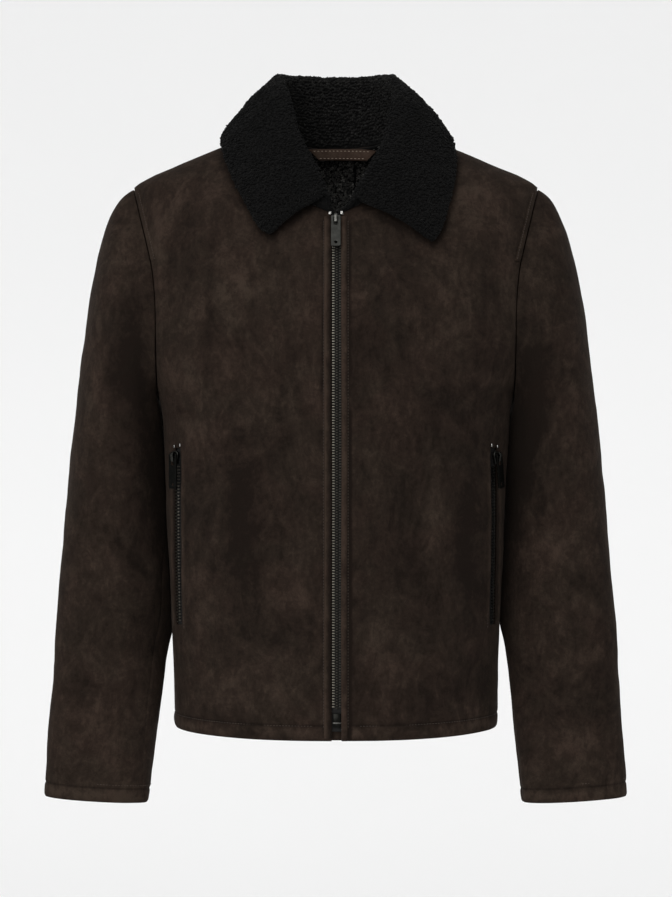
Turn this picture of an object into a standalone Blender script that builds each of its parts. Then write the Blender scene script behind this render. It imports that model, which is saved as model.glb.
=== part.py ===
"""A suede jacket with a fold-over fleece collar, a front zip and two zipped pockets, filled out as worn.

Metres, +Z up, front facing -Y. The origin is the middle of the neck, level with the tops of the shoulder
seams. Tables are in millimetres. Left and right are the wearer's, and the wearer's left is at +X.
"""

import math

import bmesh
import bpy
from mathutils import Matrix, Vector

MM = 0.001

# Cloth and seams
SUEDE = 2.0
FLEECE = 6.0
FACING = 3.0
STRAP_PROUD = 1.2
SEAM_GAP = 0.4
HEM_TURN = 6.0  # how much lower the hem is at the centre front than at the side seams
HEM_TURN_FROM = -520.0

# The body's level sections are superellipses of this power.
SECTION_POWER = 2.45
# z, half width, depth in front of the side seam, depth behind it
BODY_SECTIONS = (
    (0.0, 75.0, 10.0, 12.0),
    (-8.0, 97.0, 20.0, 45.0),
    (-16.0, 117.0, 30.0, 66.0),
    (-30.0, 152.0, 44.0, 82.0),
    (-44.0, 184.0, 56.0, 93.0),
    (-55.0, 209.0, 65.0, 100.0),
    (-66.0, 223.5, 73.0, 105.0),
    (-80.0, 224.0, 85.0, 110.0),
    (-100.0, 224.0, 98.0, 116.0),
    (-140.0, 223.0, 116.0, 126.0),
    (-180.0, 221.0, 128.0, 133.0),
    (-220.0, 218.0, 136.0, 137.0),
    (-250.0, 211.0, 139.0, 137.0),
    (-275.0, 202.5, 140.0, 136.0),
    (-293.0, 196.0, 140.0, 135.0),
    (-320.0, 191.5, 139.5, 132.0),
    (-343.0, 190.0, 139.0, 130.0),
    (-424.0, 186.5, 136.0, 122.0),
    (-520.0, 182.0, 132.0, 116.0),
    (-600.0, 179.5, 130.0, 117.0),
    (-664.0, 178.0, 128.0, 119.0),
)
# z, distance of the armhole seam from the middle
ARMHOLE = (
    (-66.0, 223.5),
    (-80.0, 219.0),
    (-100.0, 213.7),
    (-137.0, 204.0),
    (-160.0, 199.0),
    (-190.0, 196.0),
    (-220.0, 195.0),
    (-250.0, 195.0),
    (-275.0, 195.3),
    (-293.0, 196.0),
)
# z, distance of the neck seam from the middle
FRONT_NECK = (
    (0.0, 75.0), (-10.0, 73.0), (-25.0, 69.0), (-50.0, 60.0), (-75.0, 43.0), (-90.0, 25.0), (-100.0, 0.0),
)
BACK_NECK = ((0.0, 75.0), (-4.0, 70.0), (-10.0, 52.0), (-14.0, 28.0), (-16.0, 0.0))
SHOULDER_POINT = -66.0
UNDERARM = -293.0
HEM = -664.0
# Levels of the panels' grid lines above the underarm, closer where the seams curve
UPPER_ROWS = (-289, -279, -260, -230, -195, -155, -118, -88, -68, -54, -38, -24, -15, -9, -2)
LOWER_ROWS = 9
FRONT_COLUMNS = 8
BACK_COLUMNS = 8

# Sleeves: each ring's outermost point (x, z) and innermost point (x, z), its half depth, its middle's y,
# how much of the armhole's own outline it keeps, and how far back its inside is drawn
SLEEVE_RINGS = (
    (224.1, -66.0, 196.6, -293.0, 82.0, 0.0, 1.0, 0.0),
    (236.3, -77.4, 195.5, -300.0, 82.0, 1.0, 0.75, 18.0),
    (246.5, -94.0, 191.5, -309.0, 83.0, 2.0, 0.5, 28.0),
    (256.0, -117.0, 189.0, -320.0, 82.0, 2.0, 0.28, 32.0),
    (264.5, -148.0, 187.0, -333.0, 80.0, 2.0, 0.12, 33.0),
    (271.5, -184.0, 185.5, -349.0, 77.5, 2.0, 0.03, 34.0),
    (278.5, -230.0, 184.0, -371.0, 74.0, 1.0, 0.0, 36.0),
    (284.4, -277.0, 182.5, -397.0, 70.0, 0.0, 0.0, 38.0),
    (289.5, -327.0, 181.0, -428.0, 66.0, -1.0, 0.0, 38.0),
    (294.5, -381.0, 179.5, -463.0, 61.0, -3.0, 0.0, 38.0),
    (299.5, -437.0, 178.0, -500.0, 56.0, -5.0, 0.0, 36.0),
    (304.3, -490.0, 178.5, -537.0, 51.0, -7.0, 0.0, 32.0),
    (308.6, -545.0, 185.5, -573.0, 46.5, -9.0, 0.0, 14.0),
    (312.0, -603.0, 191.0, -618.0, 42.5, -11.0, 0.0, 0.0),
    (315.8, -659.0, 197.0, -667.0, 39.0, -13.0, 0.0, 0.0),
    (318.9, -700.0, 202.0, -708.0, 36.5, -14.0, 0.0, 0.0),
    (321.3, -734.5, 205.3, -741.5, 35.0, -15.0, 0.0, 0.0),
)
SLEEVE_POWER = 2.15
# Ring number, then the front seam's angle and the hind seam's from the sleeve's outside round its front
RIGHT_SEAMS = (
    (0.0, 158.0, 232.0),
    (8.0, 152.0, 236.0),
    (10.0, 141.0, 240.0),
    (13.0, 141.0, 243.0),
    (16.0, 153.0, 243.0),
)
LEFT_SEAMS = ((0.0, 168.0, 222.0), (8.0, 170.0, 224.0), (16.0, 174.0, 226.0))
LEFT_CLEAR = 3.0  # how much further the left sleeve's inside hangs off the body
BODY_CLEAR = 1.4  # the least room between a sleeve and the body's side
INSIDE_FRONT, INSIDE_HIND = 4, 8  # how sharply the drawn-back inside gives way before and behind it
UPPER_SLEEVE_COLUMNS = 14
UNDER_SLEEVE_COLUMNS = 5
SLEEVE_SEAM_HALF = 1.6

# Armhole straps, on the body side of the armhole seam
STRAP = (0.8, 7.2)
STRAP_END = -150.0

# Collar: the neck seam's level, the fold's x, y, z, and the outer edge's x, y, z at the back. In front the
# edge has x, z and how far it stands off the cloth.
COLLAR_BACK = (
    (-16.0, (0.0, 80.0, 66.0), (0.0, 94.0, -24.0)),
    (-13.0, (27.0, 76.0, 66.0), (42.0, 90.0, -24.0)),
    (-8.0, (48.0, 60.0, 65.5), (84.0, 70.0, -20.0)),
    (-3.0, (60.0, 38.0, 64.0), (111.0, 42.0, -13.0)),
    (0.0, (65.0, 12.0, 59.5), (126.0, 10.0, -8.0)),
)
COLLAR_RIGHT = (
    (-10.0, (58.0, -12.0, 42.0), (124.0, -26.0, 5.5)),
    (-25.0, (52.0, -34.0, 18.0), (117.0, -48.0, 7.0)),
    (-50.0, (44.5, -58.0, -9.0), (106.5, -72.0, 7.0)),
    (-75.0, (29.0, -82.0, -40.0), (94.0, -95.0, 7.0)),
    (-92.0, (18.0, -98.0, -67.0), (83.0, -115.0, 7.0)),
    (-99.0, (12.0, -104.0, -81.0), (70.5, -126.0, 6.5)),
)
COLLAR_LEFT = (
    (-10.0, (69.0, -12.0, 40.0), (131.0, -34.0, 7.0)),
    (-25.0, (65.0, -34.0, 15.0), (129.0, -58.0, 8.0)),
    (-50.0, (57.0, -59.0, -15.0), (123.5, -84.0, 8.0)),
    (-75.0, (43.0, -83.0, -42.0), (117.0, -106.0, 9.0)),
    (-92.0, (29.5, -98.0, -68.0), (110.5, -123.0, 9.0)),
    (-99.0, (23.0, -104.0, -84.0), (104.0, -134.0, 8.5)),
)
COLLAR_RAISE = 4.0  # the stand's lower edge above the neck seam
FOLD_HALF = 5.0
FOLD_DROP_IN, FOLD_DROP_OUT = 5.0, 4.0  # how far below the fold its inner and outer turns are
STAND_BOW = 1.5
FALL_BULGE = 2.5
LEAST_LEAN = 0.25  # the collar's lift is taken no steeper than this off a sideways surface

# Neck facing and hanger loop
FACING_HALF = 70.0
FACING_BOTTOM = -140.0
FACING_IN = SUEDE + 1.1  # its outside behind the back's outside
FACING_DROP = 4.0  # its top below the neck seam
LOOP_HALF = 46.0
LOOP_TOP = -16.8
LOOP_BOTTOM = -29.4
LOOP = 1.6
LOOP_SLACK = 7.0
LOOP_ARCH = 0.5
LOOP_IN = 12.0  # the loop's ends in front of the back's outside

# Front zip
ZIP_GAP = 4.6  # half the width left open between the fronts
EDGE_STRIP = (5.0, 12.4)
EDGE_STRIP_OUT = 0.5
EDGE_STRIP_THICK = 1.1
EDGE_STRIP_BOTTOM = -661.0
ZIP_BOTTOM = -650.0
ZIP_TAPE_HALF = 14.0
ZIP_TAPE = 0.8
TAPE_GAP = 0.8
POCKET_TAPE_GAP = 1.7
CHAIN_HALF = 3.2
CHAIN = 2.0
CHAIN_PROUD = 0.4  # how far a chain's back stands in front of its tape's outside
CHAIN_TOP = -116.5
TAPE_TOP = -103.0
TAPE_OVER = 4.0  # how far a tape runs past the zip's ends
UNDERLAP_HALF = 19.0
UNDERLAP_TOP = -108.0
UNDERLAP_THICK = 1.6
UNDERLAP_GAP = 0.6
UNDERLAP_BOTTOM = -663.0

STRIP_TOP = -104.0
BOX_TOP = -634.0
BOX_WIDTH, BOX_DEPTH = 8.6, 2.8
BOX_OUT = -0.8
CHAIN_END_GAP = 0.8
STOP_SIZE = (3.2, 2.0, 4.0)
STOP_X = 6.3
STOP_Z = -100.5
STOP_OUT = 1.5
# Top stops of a pocket's zip: name, how much further from the middle than the slit, how much lower
POCKET_STOPS = (("inner", -3.6, 0.0), ("outer", 3.0, -1.4))
POCKET_STOP_SIZE = (3.0, 1.6, 3.2)
POCKET_STOP_OUT = 1.3

# Pocket zips, each in a slit of its front
POCKET_X = 171.0
POCKET_TOP = -352.0
POCKET_BOTTOM = -545.0
POCKET_SLIT_HALF = 3.4
SLIT_DEEP = 12.0  # the slit's cutter, through the cloth
POCKET_CHAIN_HALF = 2.4
POCKET_TAPE_HALF = 9.0
POCKET_CHAIN = 1.8
POCKET_SLIDER_Z = -362.0
POCKET_CHAIN_DROP = 9.0  # the chain's top below the slider's middle
POCKET_CHAIN_RISE = 2.0  # and its bottom above the slit's

# Slider with its bridge, and pull tab. The tab's top bar turns in the bridge's round hole.
SLIDER_SIZE = (8.8, 3.8, 14.0)
SLIDER_SINK = 1.9
BRIDGE_WIDTH = 3.6
BRIDGE_HOLE = 2.0
BRIDGE_RIM = 1.3
BRIDGE_ROOT = 0.6  # how deep the bridge is set into the slider
BRIDGE_TURN = (-40.0, 90.0)  # where the round of the bridge begins and ends, in degrees
BRIDGE_FOOT = 7.0
BRIDGE_UP = 3.0  # the hole's middle above the slider's middle
BRIDGE_OUT = 4.6  # and in front of the cloth
TAB_SIZE = (10.5, 1.6, 38.0)
TAB_BAR = 1.2
TAB_SLOT = (4.6, 10.0)
TAB_HOLE = 1.2
TAB_HOLE_UP = 4.5
SLIDERS = (
    # name, x, z, lift off the cloth, turn about the zip's line, lean in the cloth's plane, in degrees
    ("front", 0.0, -108.5, 0.0, 0.0, 0.0),
    ("pocket_right", -POCKET_X, POCKET_SLIDER_Z, 2.9, 22.0, 0.0),
    ("pocket_left", POCKET_X, POCKET_SLIDER_Z, 2.4, -6.0, -8.0),
)

MATERIALS = {
    "suede": ((0.028, 0.018, 0.013), 0.95, 0.0),
    "fleece": ((0.006, 0.006, 0.0055), 1.0, 0.0),
    "tape": ((0.010, 0.009, 0.008), 0.85, 0.0),
    "metal": ((0.09, 0.088, 0.08), 0.35, 1.0),
}


def clear_scene():
    for obj in list(bpy.data.objects):
        bpy.data.objects.remove(obj, do_unlink=True)


def smooth_value(table, at, column):
    """The table's column at a level, along a curve through every row that never overshoots."""
    rows = table if table[0][0] > table[-1][0] else table[::-1]
    at = min(max(at, rows[-1][0]), rows[0][0])
    index = next(i for i in range(len(rows) - 1) if at >= rows[i + 1][0])

    def slope(i):
        if i <= 0 or i >= len(rows) - 1:
            j = min(max(i, 1), len(rows) - 1)
            return (rows[j][column] - rows[j - 1][column]) / (rows[j][0] - rows[j - 1][0])
        before = (rows[i][column] - rows[i - 1][column]) / (rows[i][0] - rows[i - 1][0])
        after = (rows[i + 1][column] - rows[i][column]) / (rows[i + 1][0] - rows[i][0])
        return 0.0 if before * after <= 0 else 2 * before * after / (before + after)

    high, low = rows[index], rows[index + 1]
    span = low[0] - high[0]
    t = (at - high[0]) / span
    return (
        (2 * t**3 - 3 * t**2 + 1) * high[column]
        + (t**3 - 2 * t**2 + t) * span * slope(index)
        + (3 * t**2 - 2 * t**3) * low[column]
        + (t**3 - t**2) * span * slope(index + 1)
    )


def angle_at(z, x):
    """The section's angle, from the middle round to the side, at a distance from the middle."""
    share = min(max(x / smooth_value(BODY_SECTIONS, z, 1), 0.0), 1.0)
    return math.asin(share ** (SECTION_POWER / 2))


def body_point(angle, z, front=True):
    """A point of the body's outer surface on the +X side."""
    half_width = smooth_value(BODY_SECTIONS, z, 1)
    depth = smooth_value(BODY_SECTIONS, z, 2 if front else 3)
    x = half_width * math.sin(angle) ** (2 / SECTION_POWER)
    y = depth * max(math.cos(angle), 0.0) ** (2 / SECTION_POWER)
    low = max(0.0, (HEM_TURN_FROM - z) / (HEM_TURN_FROM - HEM))
    return Vector((x, -y if front else y, z + HEM_TURN * low * math.sin(angle) ** 2))


def body_normal(angle, z, front=True):
    step = 0.5
    inner = min(max(angle, 0.02), math.pi / 2 - 0.02)
    across = body_point(inner + 0.01, z, front) - body_point(inner - 0.01, z, front)
    along = body_point(inner, z + step, front) - body_point(inner, z - step, front)
    normal = across.cross(along)
    outward = Vector((math.sin(inner), -math.cos(inner) if front else math.cos(inner), 0.0))
    return (normal if normal.dot(outward) > 0 else -normal).normalized()


def on_body(x, z, out, front=True):
    """The place on the body seen at x and z, moved out along the surface's normal."""
    angle = angle_at(z, abs(x))
    point = body_point(angle, z, front) + out * body_normal(angle, z, front)
    return Vector((math.copysign(point.x, x) if x else 0.0, point.y, point.z))


def material(name):
    if name in bpy.data.materials:
        return bpy.data.materials[name]
    colour, roughness, metallic = MATERIALS[name]
    made = bpy.data.materials.new(name)
    made.use_nodes = True
    shader = made.node_tree.nodes["Principled BSDF"]
    shader.inputs["Base Color"].default_value = (*colour, 1.0)
    shader.inputs["Roughness"].default_value = roughness
    shader.inputs["Metallic"].default_value = metallic
    return made


def add_object(name, mesh, finish, cutter=False):
    obj = bpy.data.objects.new(name, mesh)
    bpy.data.collections["cutters" if cutter else "suede_jacket"].objects.link(obj)
    if cutter:
        obj.hide_render = True
        obj.display_type = "WIRE"
    else:
        mesh.materials.append(material(finish))
        mesh.shade_smooth()
        mesh.set_sharp_from_angle(angle=math.radians(40))
    return obj


def grid_mesh(name, grid):
    """An open sheet through rows of points, in millimetres."""
    sheet = bmesh.new()
    rows = [[sheet.verts.new(Vector(point) * MM) for point in row] for row in grid]
    for low, high in zip(rows, rows[1:]):
        for i in range(len(low) - 1):
            sheet.faces.new((low[i], low[i + 1], high[i + 1], high[i]))
    mesh = bpy.data.meshes.new(name)
    sheet.to_mesh(mesh)
    sheet.free()
    return mesh


def cloth(name, grid, finish, thickness, offset=-1.0, flip=False, cutter=False):
    """A cloth piece: an open sheet given its thickness. Its rows run so that the outside is its front."""
    if flip:
        grid = [row[::-1] for row in grid]
    obj = add_object(name, grid_mesh(name, grid), finish, cutter)
    solid = obj.modifiers.new("wall", "SOLIDIFY")
    solid.thickness = thickness * MM
    solid.offset = offset
    solid.use_even_offset = False
    solid.use_rim = True
    return obj


def mirrored(grid):
    return [[Vector((-p.x, p.y, p.z)) for p in row] for row in grid]


def spaced(first, last, count):
    return [first + (last - first) * i / (count - 1) for i in range(count)]


def panel_levels():
    return spaced(HEM, UNDERARM, LOWER_ROWS) + [float(z) for z in UPPER_ROWS]


def levels_between(bottom, top):
    """The panels' own levels between two others, so that what lies on a panel has its facets."""
    return [bottom] + [z for z in panel_levels() if bottom + 3.0 < z < top - 3.0] + [top]


def outer_angle(z):
    """Where a body panel ends: at the side seam, the armhole or the shoulder seam."""
    if SHOULDER_POINT > z > UNDERARM:
        return angle_at(z, smooth_value(ARMHOLE, z, 1))
    return math.pi / 2


def neck_angle(table, z):
    if z <= table[-1][0]:
        return 0.0
    return angle_at(z, smooth_value(table, z, 1))


def seam_inset(z):
    """The angle given up at a seam for half of its gap."""
    return 0.5 * SEAM_GAP / smooth_value(BODY_SECTIONS, z, 1)


def front_grid():
    """The left front's outer surface, from the zip to the side seam, armhole and shoulder."""
    grid = []
    for z in panel_levels():
        first = max(neck_angle(FRONT_NECK, z), angle_at(z, ZIP_GAP))
        last = outer_angle(z) - seam_inset(z)
        angles = [first + (last - first) * (i / FRONT_COLUMNS) for i in range(FRONT_COLUMNS + 1)]
        grid.append([body_point(angle, z) for angle in angles])
    return grid


def back_grid():
    """The whole back's outer surface, from one side to the other."""
    grid = []
    for z in panel_levels():
        last = outer_angle(z) - seam_inset(z)
        first = neck_angle(BACK_NECK, z)
        angles = [first + (last - first) * (i / BACK_COLUMNS) for i in range(BACK_COLUMNS + 1)]
        grid.append([body_point(angle, z, False) for angle in angles])
    return grid


def make_fronts():
    grid = front_grid()
    cutter_grid = pocket_strip(POCKET_SLIT_HALF, 0.5 * SLIT_DEEP, POCKET_TOP, POCKET_BOTTOM)
    for side, sign in (("left", 1), ("right", -1)):
        half = grid if sign > 0 else mirrored(grid)
        opening = cutter_grid if sign > 0 else mirrored(cutter_grid)
        panel = cloth(f"front_{side}", half, "suede", SUEDE, flip=sign < 0)
        slit = cloth(f"slit_{side}", opening, None, SLIT_DEEP, flip=sign < 0, cutter=True)
        cut = panel.modifiers.new("pocket slit", "BOOLEAN")
        cut.operation = "DIFFERENCE"
        cut.solver = "EXACT"
        cut.object = slit


def make_back():
    """The back is one piece up to the neck and splits there into the two shoulder parts."""
    half = back_grid()
    neck_row = max(i for i, z in enumerate(panel_levels()) if z < BACK_NECK[-1][0])
    sheet = bmesh.new()
    columns = {}
    for row, points in enumerate(half):
        for side in (1, -1):
            for column, point in enumerate(points):
                shared = column == 0 and row <= neck_row
                key = (row, 0 if shared else side * (column + 1))
                if key not in columns:
                    columns[key] = sheet.verts.new(Vector((side * point.x, point.y, point.z)) * MM)
    for row in range(len(half) - 1):
        for side in (1, -1):
            for column in range(BACK_COLUMNS):
                corners = []
                for r, c in ((row, column), (row, column + 1), (row + 1, column + 1), (row + 1, column)):
                    shared = c == 0 and r <= neck_row
                    corners.append(columns[(r, 0 if shared else side * (c + 1))])
                sheet.faces.new(corners[::-1] if side == 1 else corners)
    mesh = bpy.data.meshes.new("back")
    sheet.to_mesh(mesh)
    sheet.free()
    obj = add_object("back", mesh, "suede")
    solid = obj.modifiers.new("wall", "SOLIDIFY")
    solid.thickness = SUEDE * MM
    solid.offset = -1.0
    solid.use_even_offset = False


def pocket_x(z):
    """The pocket zip's distance from the middle bows out a little half way down."""
    down = (z - POCKET_TOP) / (POCKET_BOTTOM - POCKET_TOP)
    return POCKET_X + 1.0 * math.sin(math.pi * min(max(down, 0.0), 1.0))


def pocket_strip(half, out, top, bottom):
    """A strip along the left pocket's line, moved out from the front's surface."""
    grid = []
    for z in levels_between(bottom, top):
        middle = angle_at(z, pocket_x(z))
        ahead = body_point(middle + 0.01, z) - body_point(middle - 0.01, z)
        turn = half * 0.02 / ahead.length
        angles = (middle - turn, middle, middle + turn)
        grid.append([body_point(angle, z) + out * body_normal(angle, z) for angle in angles])
    return grid


def body_strip(first, last, top, bottom, out, columns=2):
    """A strip of the front's surface between two distances from the middle, moved out."""
    return [[on_body(x, z, out) for x in spaced(first, last, columns)] for z in levels_between(bottom, top)]


def signed_power(value, power):
    return math.copysign(abs(value) ** power, value)


def armhole_point(angle):
    """The armhole's outline, from the shoulder (0) round the front to the underarm (180 degrees)."""
    z = 0.5 * (SHOULDER_POINT + UNDERARM) + 0.5 * (SHOULDER_POINT - UNDERARM) * math.cos(angle)
    front = math.sin(angle) >= 0
    x = smooth_value(ARMHOLE, min(max(z, UNDERARM), SHOULDER_POINT), 1)
    point = body_point(angle_at(z, x), z, front)
    return Vector((x, point.y, z))


def beside_body(point):
    """The point, moved sideways where it would touch the body below the armhole."""
    if point.z > UNDERARM:
        return point
    depth = smooth_value(BODY_SECTIONS, point.z, 2 if point.y < 0 else 3)
    share = min(1.0, abs(point.y) / depth) ** SECTION_POWER
    side = smooth_value(BODY_SECTIONS, point.z, 1) * (1.0 - share) ** (1 / SECTION_POWER)
    return Vector((max(point.x, side + BODY_CLEAR), point.y, point.z))


def ring_point(ring, angle, clear):
    """A sleeve ring's point. The angle runs from its outermost point round the front to its innermost."""
    outer_x, outer_z, inner_x, inner_z, half_depth, middle_y, keep, back = ring
    inner_x += clear * (1.0 - keep) * min(1.0, max(0.0, (inner_z - HEM) / 120.0))
    across = 0.5 * signed_power(math.cos(angle), 2 / SLEEVE_POWER)
    y = middle_y - half_depth * signed_power(math.sin(angle), 2 / SLEEVE_POWER)
    sharpness = INSIDE_FRONT if math.sin(angle) > 0 else INSIDE_HIND
    y += back * (0.5 - 0.5 * math.cos(angle)) ** sharpness
    free = Vector((
        0.5 * (outer_x + inner_x) + across * (outer_x - inner_x),
        y,
        0.5 * (outer_z + inner_z) + across * (outer_z - inner_z),
    ))
    if not keep:
        return beside_body(free)
    hole = armhole_point(angle) + Vector((outer_x - 223.5, 0.0, 0.0)) * math.cos(0.5 * angle) ** 2
    hole += Vector((0.6, 0.0, 0.0))
    shift = Vector((0.0, 0.0, 0.5 * (outer_z + inner_z) - 0.5 * (SHOULDER_POINT + UNDERARM)))
    return beside_body(free.lerp(hole + shift, keep))


def sleeve_grid(seams, clear, under):
    """The left sleeve's upper or under panel, from the armhole to the cuff."""
    grid = []
    for number, ring in enumerate(SLEEVE_RINGS):
        front = math.radians(smooth_value(seams, number, 1))
        hind = math.radians(smooth_value(seams, number, 2))
        gap = SLEEVE_SEAM_HALF / ring[4]
        if under:
            angles = spaced(front + gap, hind - gap, UNDER_SLEEVE_COLUMNS + 1)
        else:
            angles = spaced(hind - 2 * math.pi + gap, front - gap, UPPER_SLEEVE_COLUMNS + 1)
        grid.append([ring_point(ring, angle, clear) for angle in angles])
    return grid


def make_sleeves():
    for side, sign, seams, clear in (("left", 1, LEFT_SEAMS, LEFT_CLEAR), ("right", -1, RIGHT_SEAMS, 0.0)):
        for part in ("upper", "under"):
            grid = sleeve_grid(seams, clear, part == "under")
            grid = grid if sign > 0 else mirrored(grid)
            cloth(f"{part}_sleeve_{side}", grid, "suede", SUEDE, flip=sign < 0)


def make_straps():
    """The narrow strip along each armhole, on the front and on the back."""
    levels = spaced(STRAP_END, SHOULDER_POINT - 3.0, 6)
    for place, front in (("", True), ("_back", False)):
        grid = []
        for z in levels:
            edge = smooth_value(ARMHOLE, z, 1)
            row = [on_body(edge - inset, z, 0.4, front) for inset in (STRAP[1], STRAP[0])]
            grid.append(row if front else row[::-1])
        for side, sign in (("left", 1), ("right", -1)):
            strip = grid if sign > 0 else mirrored(grid)
            cloth(f"armhole_strap{place}_{side}", strip, "suede", STRAP_PROUD, 1.0, flip=sign < 0)


def neck_point(level, front):
    """A point of the neck seam on the left side."""
    x = smooth_value(FRONT_NECK if front else BACK_NECK, level, 1)
    return body_point(angle_at(level, x), level, front) if x else body_point(0.0, level, front)


def collar_row(neck, fold, edge):
    """The collar's section: up the stand, over the fold and down the fall."""
    neck = neck + Vector((0.0, 0.0, COLLAR_RAISE))
    outward = Vector((edge.x - fold.x, edge.y - fold.y, 0.0)).normalized()
    inner = fold - FOLD_HALF * outward - Vector((0.0, 0.0, FOLD_DROP_IN))
    outer = fold + FOLD_HALF * outward - Vector((0.0, 0.0, FOLD_DROP_OUT))
    fall = edge - outer
    bulge = FALL_BULGE * (outward + Vector((0.0, 0.0, 1.0)))
    return [
        neck,
        neck.lerp(inner, 0.5) + STAND_BOW * outward,
        inner,
        fold,
        outer,
        outer + fall / 3 + bulge,
        outer + 2 * fall / 3 + bulge,
        edge,
    ]


def collar_rows():
    """The collar's sections from the right front end, round the back, to the left front end."""
    rows = []
    for sign, fronts in ((-1, COLLAR_RIGHT), (1, COLLAR_LEFT)):
        half = []
        for level, fold, edge in COLLAR_BACK:
            half.append((neck_point(level, False), Vector(fold), Vector(edge)))
        for level, fold, (x, z, lift) in fronts:
            angle = angle_at(z, x)
            lean = max(abs(body_normal(angle, z).y), LEAST_LEAN)
            place = Vector((x, body_point(angle, z).y - lift / lean, z))
            half.append((neck_point(level, True), Vector(fold), place))
        made = [collar_row(*places) for places in half]
        if sign < 0:
            rows += mirrored(made)[:0:-1]
        else:
            rows += made
    return rows


def make_collar():
    cloth("collar", collar_rows(), "fleece", FLEECE, 0.0)


def make_neck_inside():
    """The facing behind the neck and the hanger loop in front of it."""
    widths = [(smooth_value(BACK_NECK, z, 1), z) for z in spaced(BACK_NECK[-1][0], 0.0, 17)]
    grid = []
    for share in spaced(1.0, 0.0, 6):
        row = []
        for x in spaced(-FACING_HALF, FACING_HALF, 11):
            top = min((abs(width - abs(x)), z) for width, z in widths)[1] - FACING_DROP
            row.append(on_body(x, top + (FACING_BOTTOM - top) * share, -FACING_IN, False))
        grid.append(row)
    cloth("neck_facing", grid, "fleece", FACING, -1.0, flip=True)

    grid = []
    for z in (LOOP_BOTTOM, LOOP_TOP):
        row = []
        for x in spaced(-LOOP_HALF, LOOP_HALF, 9):
            bow = 1.0 - (x / LOOP_HALF) ** 2
            place = on_body(x, LOOP_TOP, 0.0, False)
            row.append(Vector((place.x, place.y - LOOP_IN - LOOP_SLACK * bow, z + LOOP_ARCH * bow)))
        grid.append(row)
    cloth("hanger_loop", grid, "suede", LOOP, 1.0, flip=True)


def make_zip_cloth():
    """The edge strips, the underlap, and each zip's tape and chain."""
    tape_out = -(SUEDE + TAPE_GAP)
    for side, sign in (("left", 1), ("right", -1)):
        strip = body_strip(*EDGE_STRIP, STRIP_TOP, EDGE_STRIP_BOTTOM, EDGE_STRIP_OUT)
        strip = strip if sign > 0 else mirrored(strip)
        cloth(f"edge_strip_{side}", strip, "suede", EDGE_STRIP_THICK, 1.0, flip=sign < 0)
    tape = body_strip(-ZIP_TAPE_HALF, ZIP_TAPE_HALF, TAPE_TOP, ZIP_BOTTOM - TAPE_OVER, tape_out, 3)
    cloth("front_zip_tape", tape, "tape", ZIP_TAPE)
    chain = body_strip(-CHAIN_HALF, CHAIN_HALF, CHAIN_TOP, BOX_TOP + CHAIN_END_GAP, tape_out + CHAIN_PROUD)
    cloth("front_zip_chain", chain, "metal", CHAIN, 1.0)
    lap_out = tape_out - ZIP_TAPE - UNDERLAP_GAP
    lap = body_strip(-UNDERLAP_HALF, UNDERLAP_HALF, UNDERLAP_TOP, UNDERLAP_BOTTOM, lap_out, 3)
    cloth("underlap", lap, "suede", UNDERLAP_THICK)

    tape_out = -(SUEDE + POCKET_TAPE_GAP)
    for side, sign in (("left", 1), ("right", -1)):
        tape = pocket_strip(POCKET_TAPE_HALF, tape_out, POCKET_TOP + TAPE_OVER, POCKET_BOTTOM - TAPE_OVER)
        chain = pocket_strip(
            POCKET_CHAIN_HALF, tape_out + CHAIN_PROUD, POCKET_SLIDER_Z - POCKET_CHAIN_DROP,
            POCKET_BOTTOM + POCKET_CHAIN_RISE,
        )
        if sign < 0:
            tape, chain = mirrored(tape), mirrored(chain)
        cloth(f"pocket_{side}_zip_tape", tape, "tape", ZIP_TAPE, -1.0, flip=sign < 0)
        cloth(f"pocket_{side}_zip_chain", chain, "metal", POCKET_CHAIN, 1.0, flip=sign < 0)


def block(name, size, finish, bevel=0.0, cutter=False):
    """A box about its own middle, in millimetres, with its edges rounded."""
    shape = bmesh.new()
    bmesh.ops.create_cube(shape, size=1.0)
    bmesh.ops.scale(shape, vec=Vector(size) * MM, verts=shape.verts)
    mesh = bpy.data.meshes.new(name)
    shape.to_mesh(mesh)
    shape.free()
    obj = add_object(name, mesh, finish, cutter)
    if bevel:
        rounding = obj.modifiers.new("round", "BEVEL")
        rounding.width = bevel * MM
        rounding.segments = 2
    return obj


def peg(name, radius, length):
    """A cutter: a cylinder along X, in millimetres."""
    shape = bmesh.new()
    bmesh.ops.create_cone(
        shape, cap_ends=True, segments=20, radius1=radius * MM, radius2=radius * MM, depth=length * MM,
        matrix=Matrix.Rotation(math.pi / 2, 4, "Y"),
    )
    mesh = bpy.data.meshes.new(name)
    shape.to_mesh(mesh)
    shape.free()
    return add_object(name, mesh, None, cutter=True)


def boolean(obj, other, operation):
    step = obj.modifiers.new(f"{operation.lower()} {other.name}", "BOOLEAN")
    step.operation = operation
    step.solver = "EXACT"
    step.object = other


def cloth_frame(x, z, out, turn, lean):
    """Axes on the cloth: X across, -Y out of it and Z up it."""
    front = on_body(x, z, out)
    up = on_body(x, z + 6.0, 0.0) - on_body(x, z - 6.0, 0.0)
    up.normalize()
    outward = body_normal(angle_at(z, abs(x)), z)
    outward.x = math.copysign(outward.x, x) if x else 0.0
    outward = (outward - outward.dot(up) * up).normalized()
    across = up.cross(outward).normalized()
    axes = Matrix((across, -outward, up)).transposed().to_4x4()
    turned = axes @ Matrix.Rotation(math.radians(turn), 4, "Z")
    return Matrix.Translation(front * MM) @ turned @ Matrix.Rotation(math.radians(lean), 4, "Y")


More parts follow.
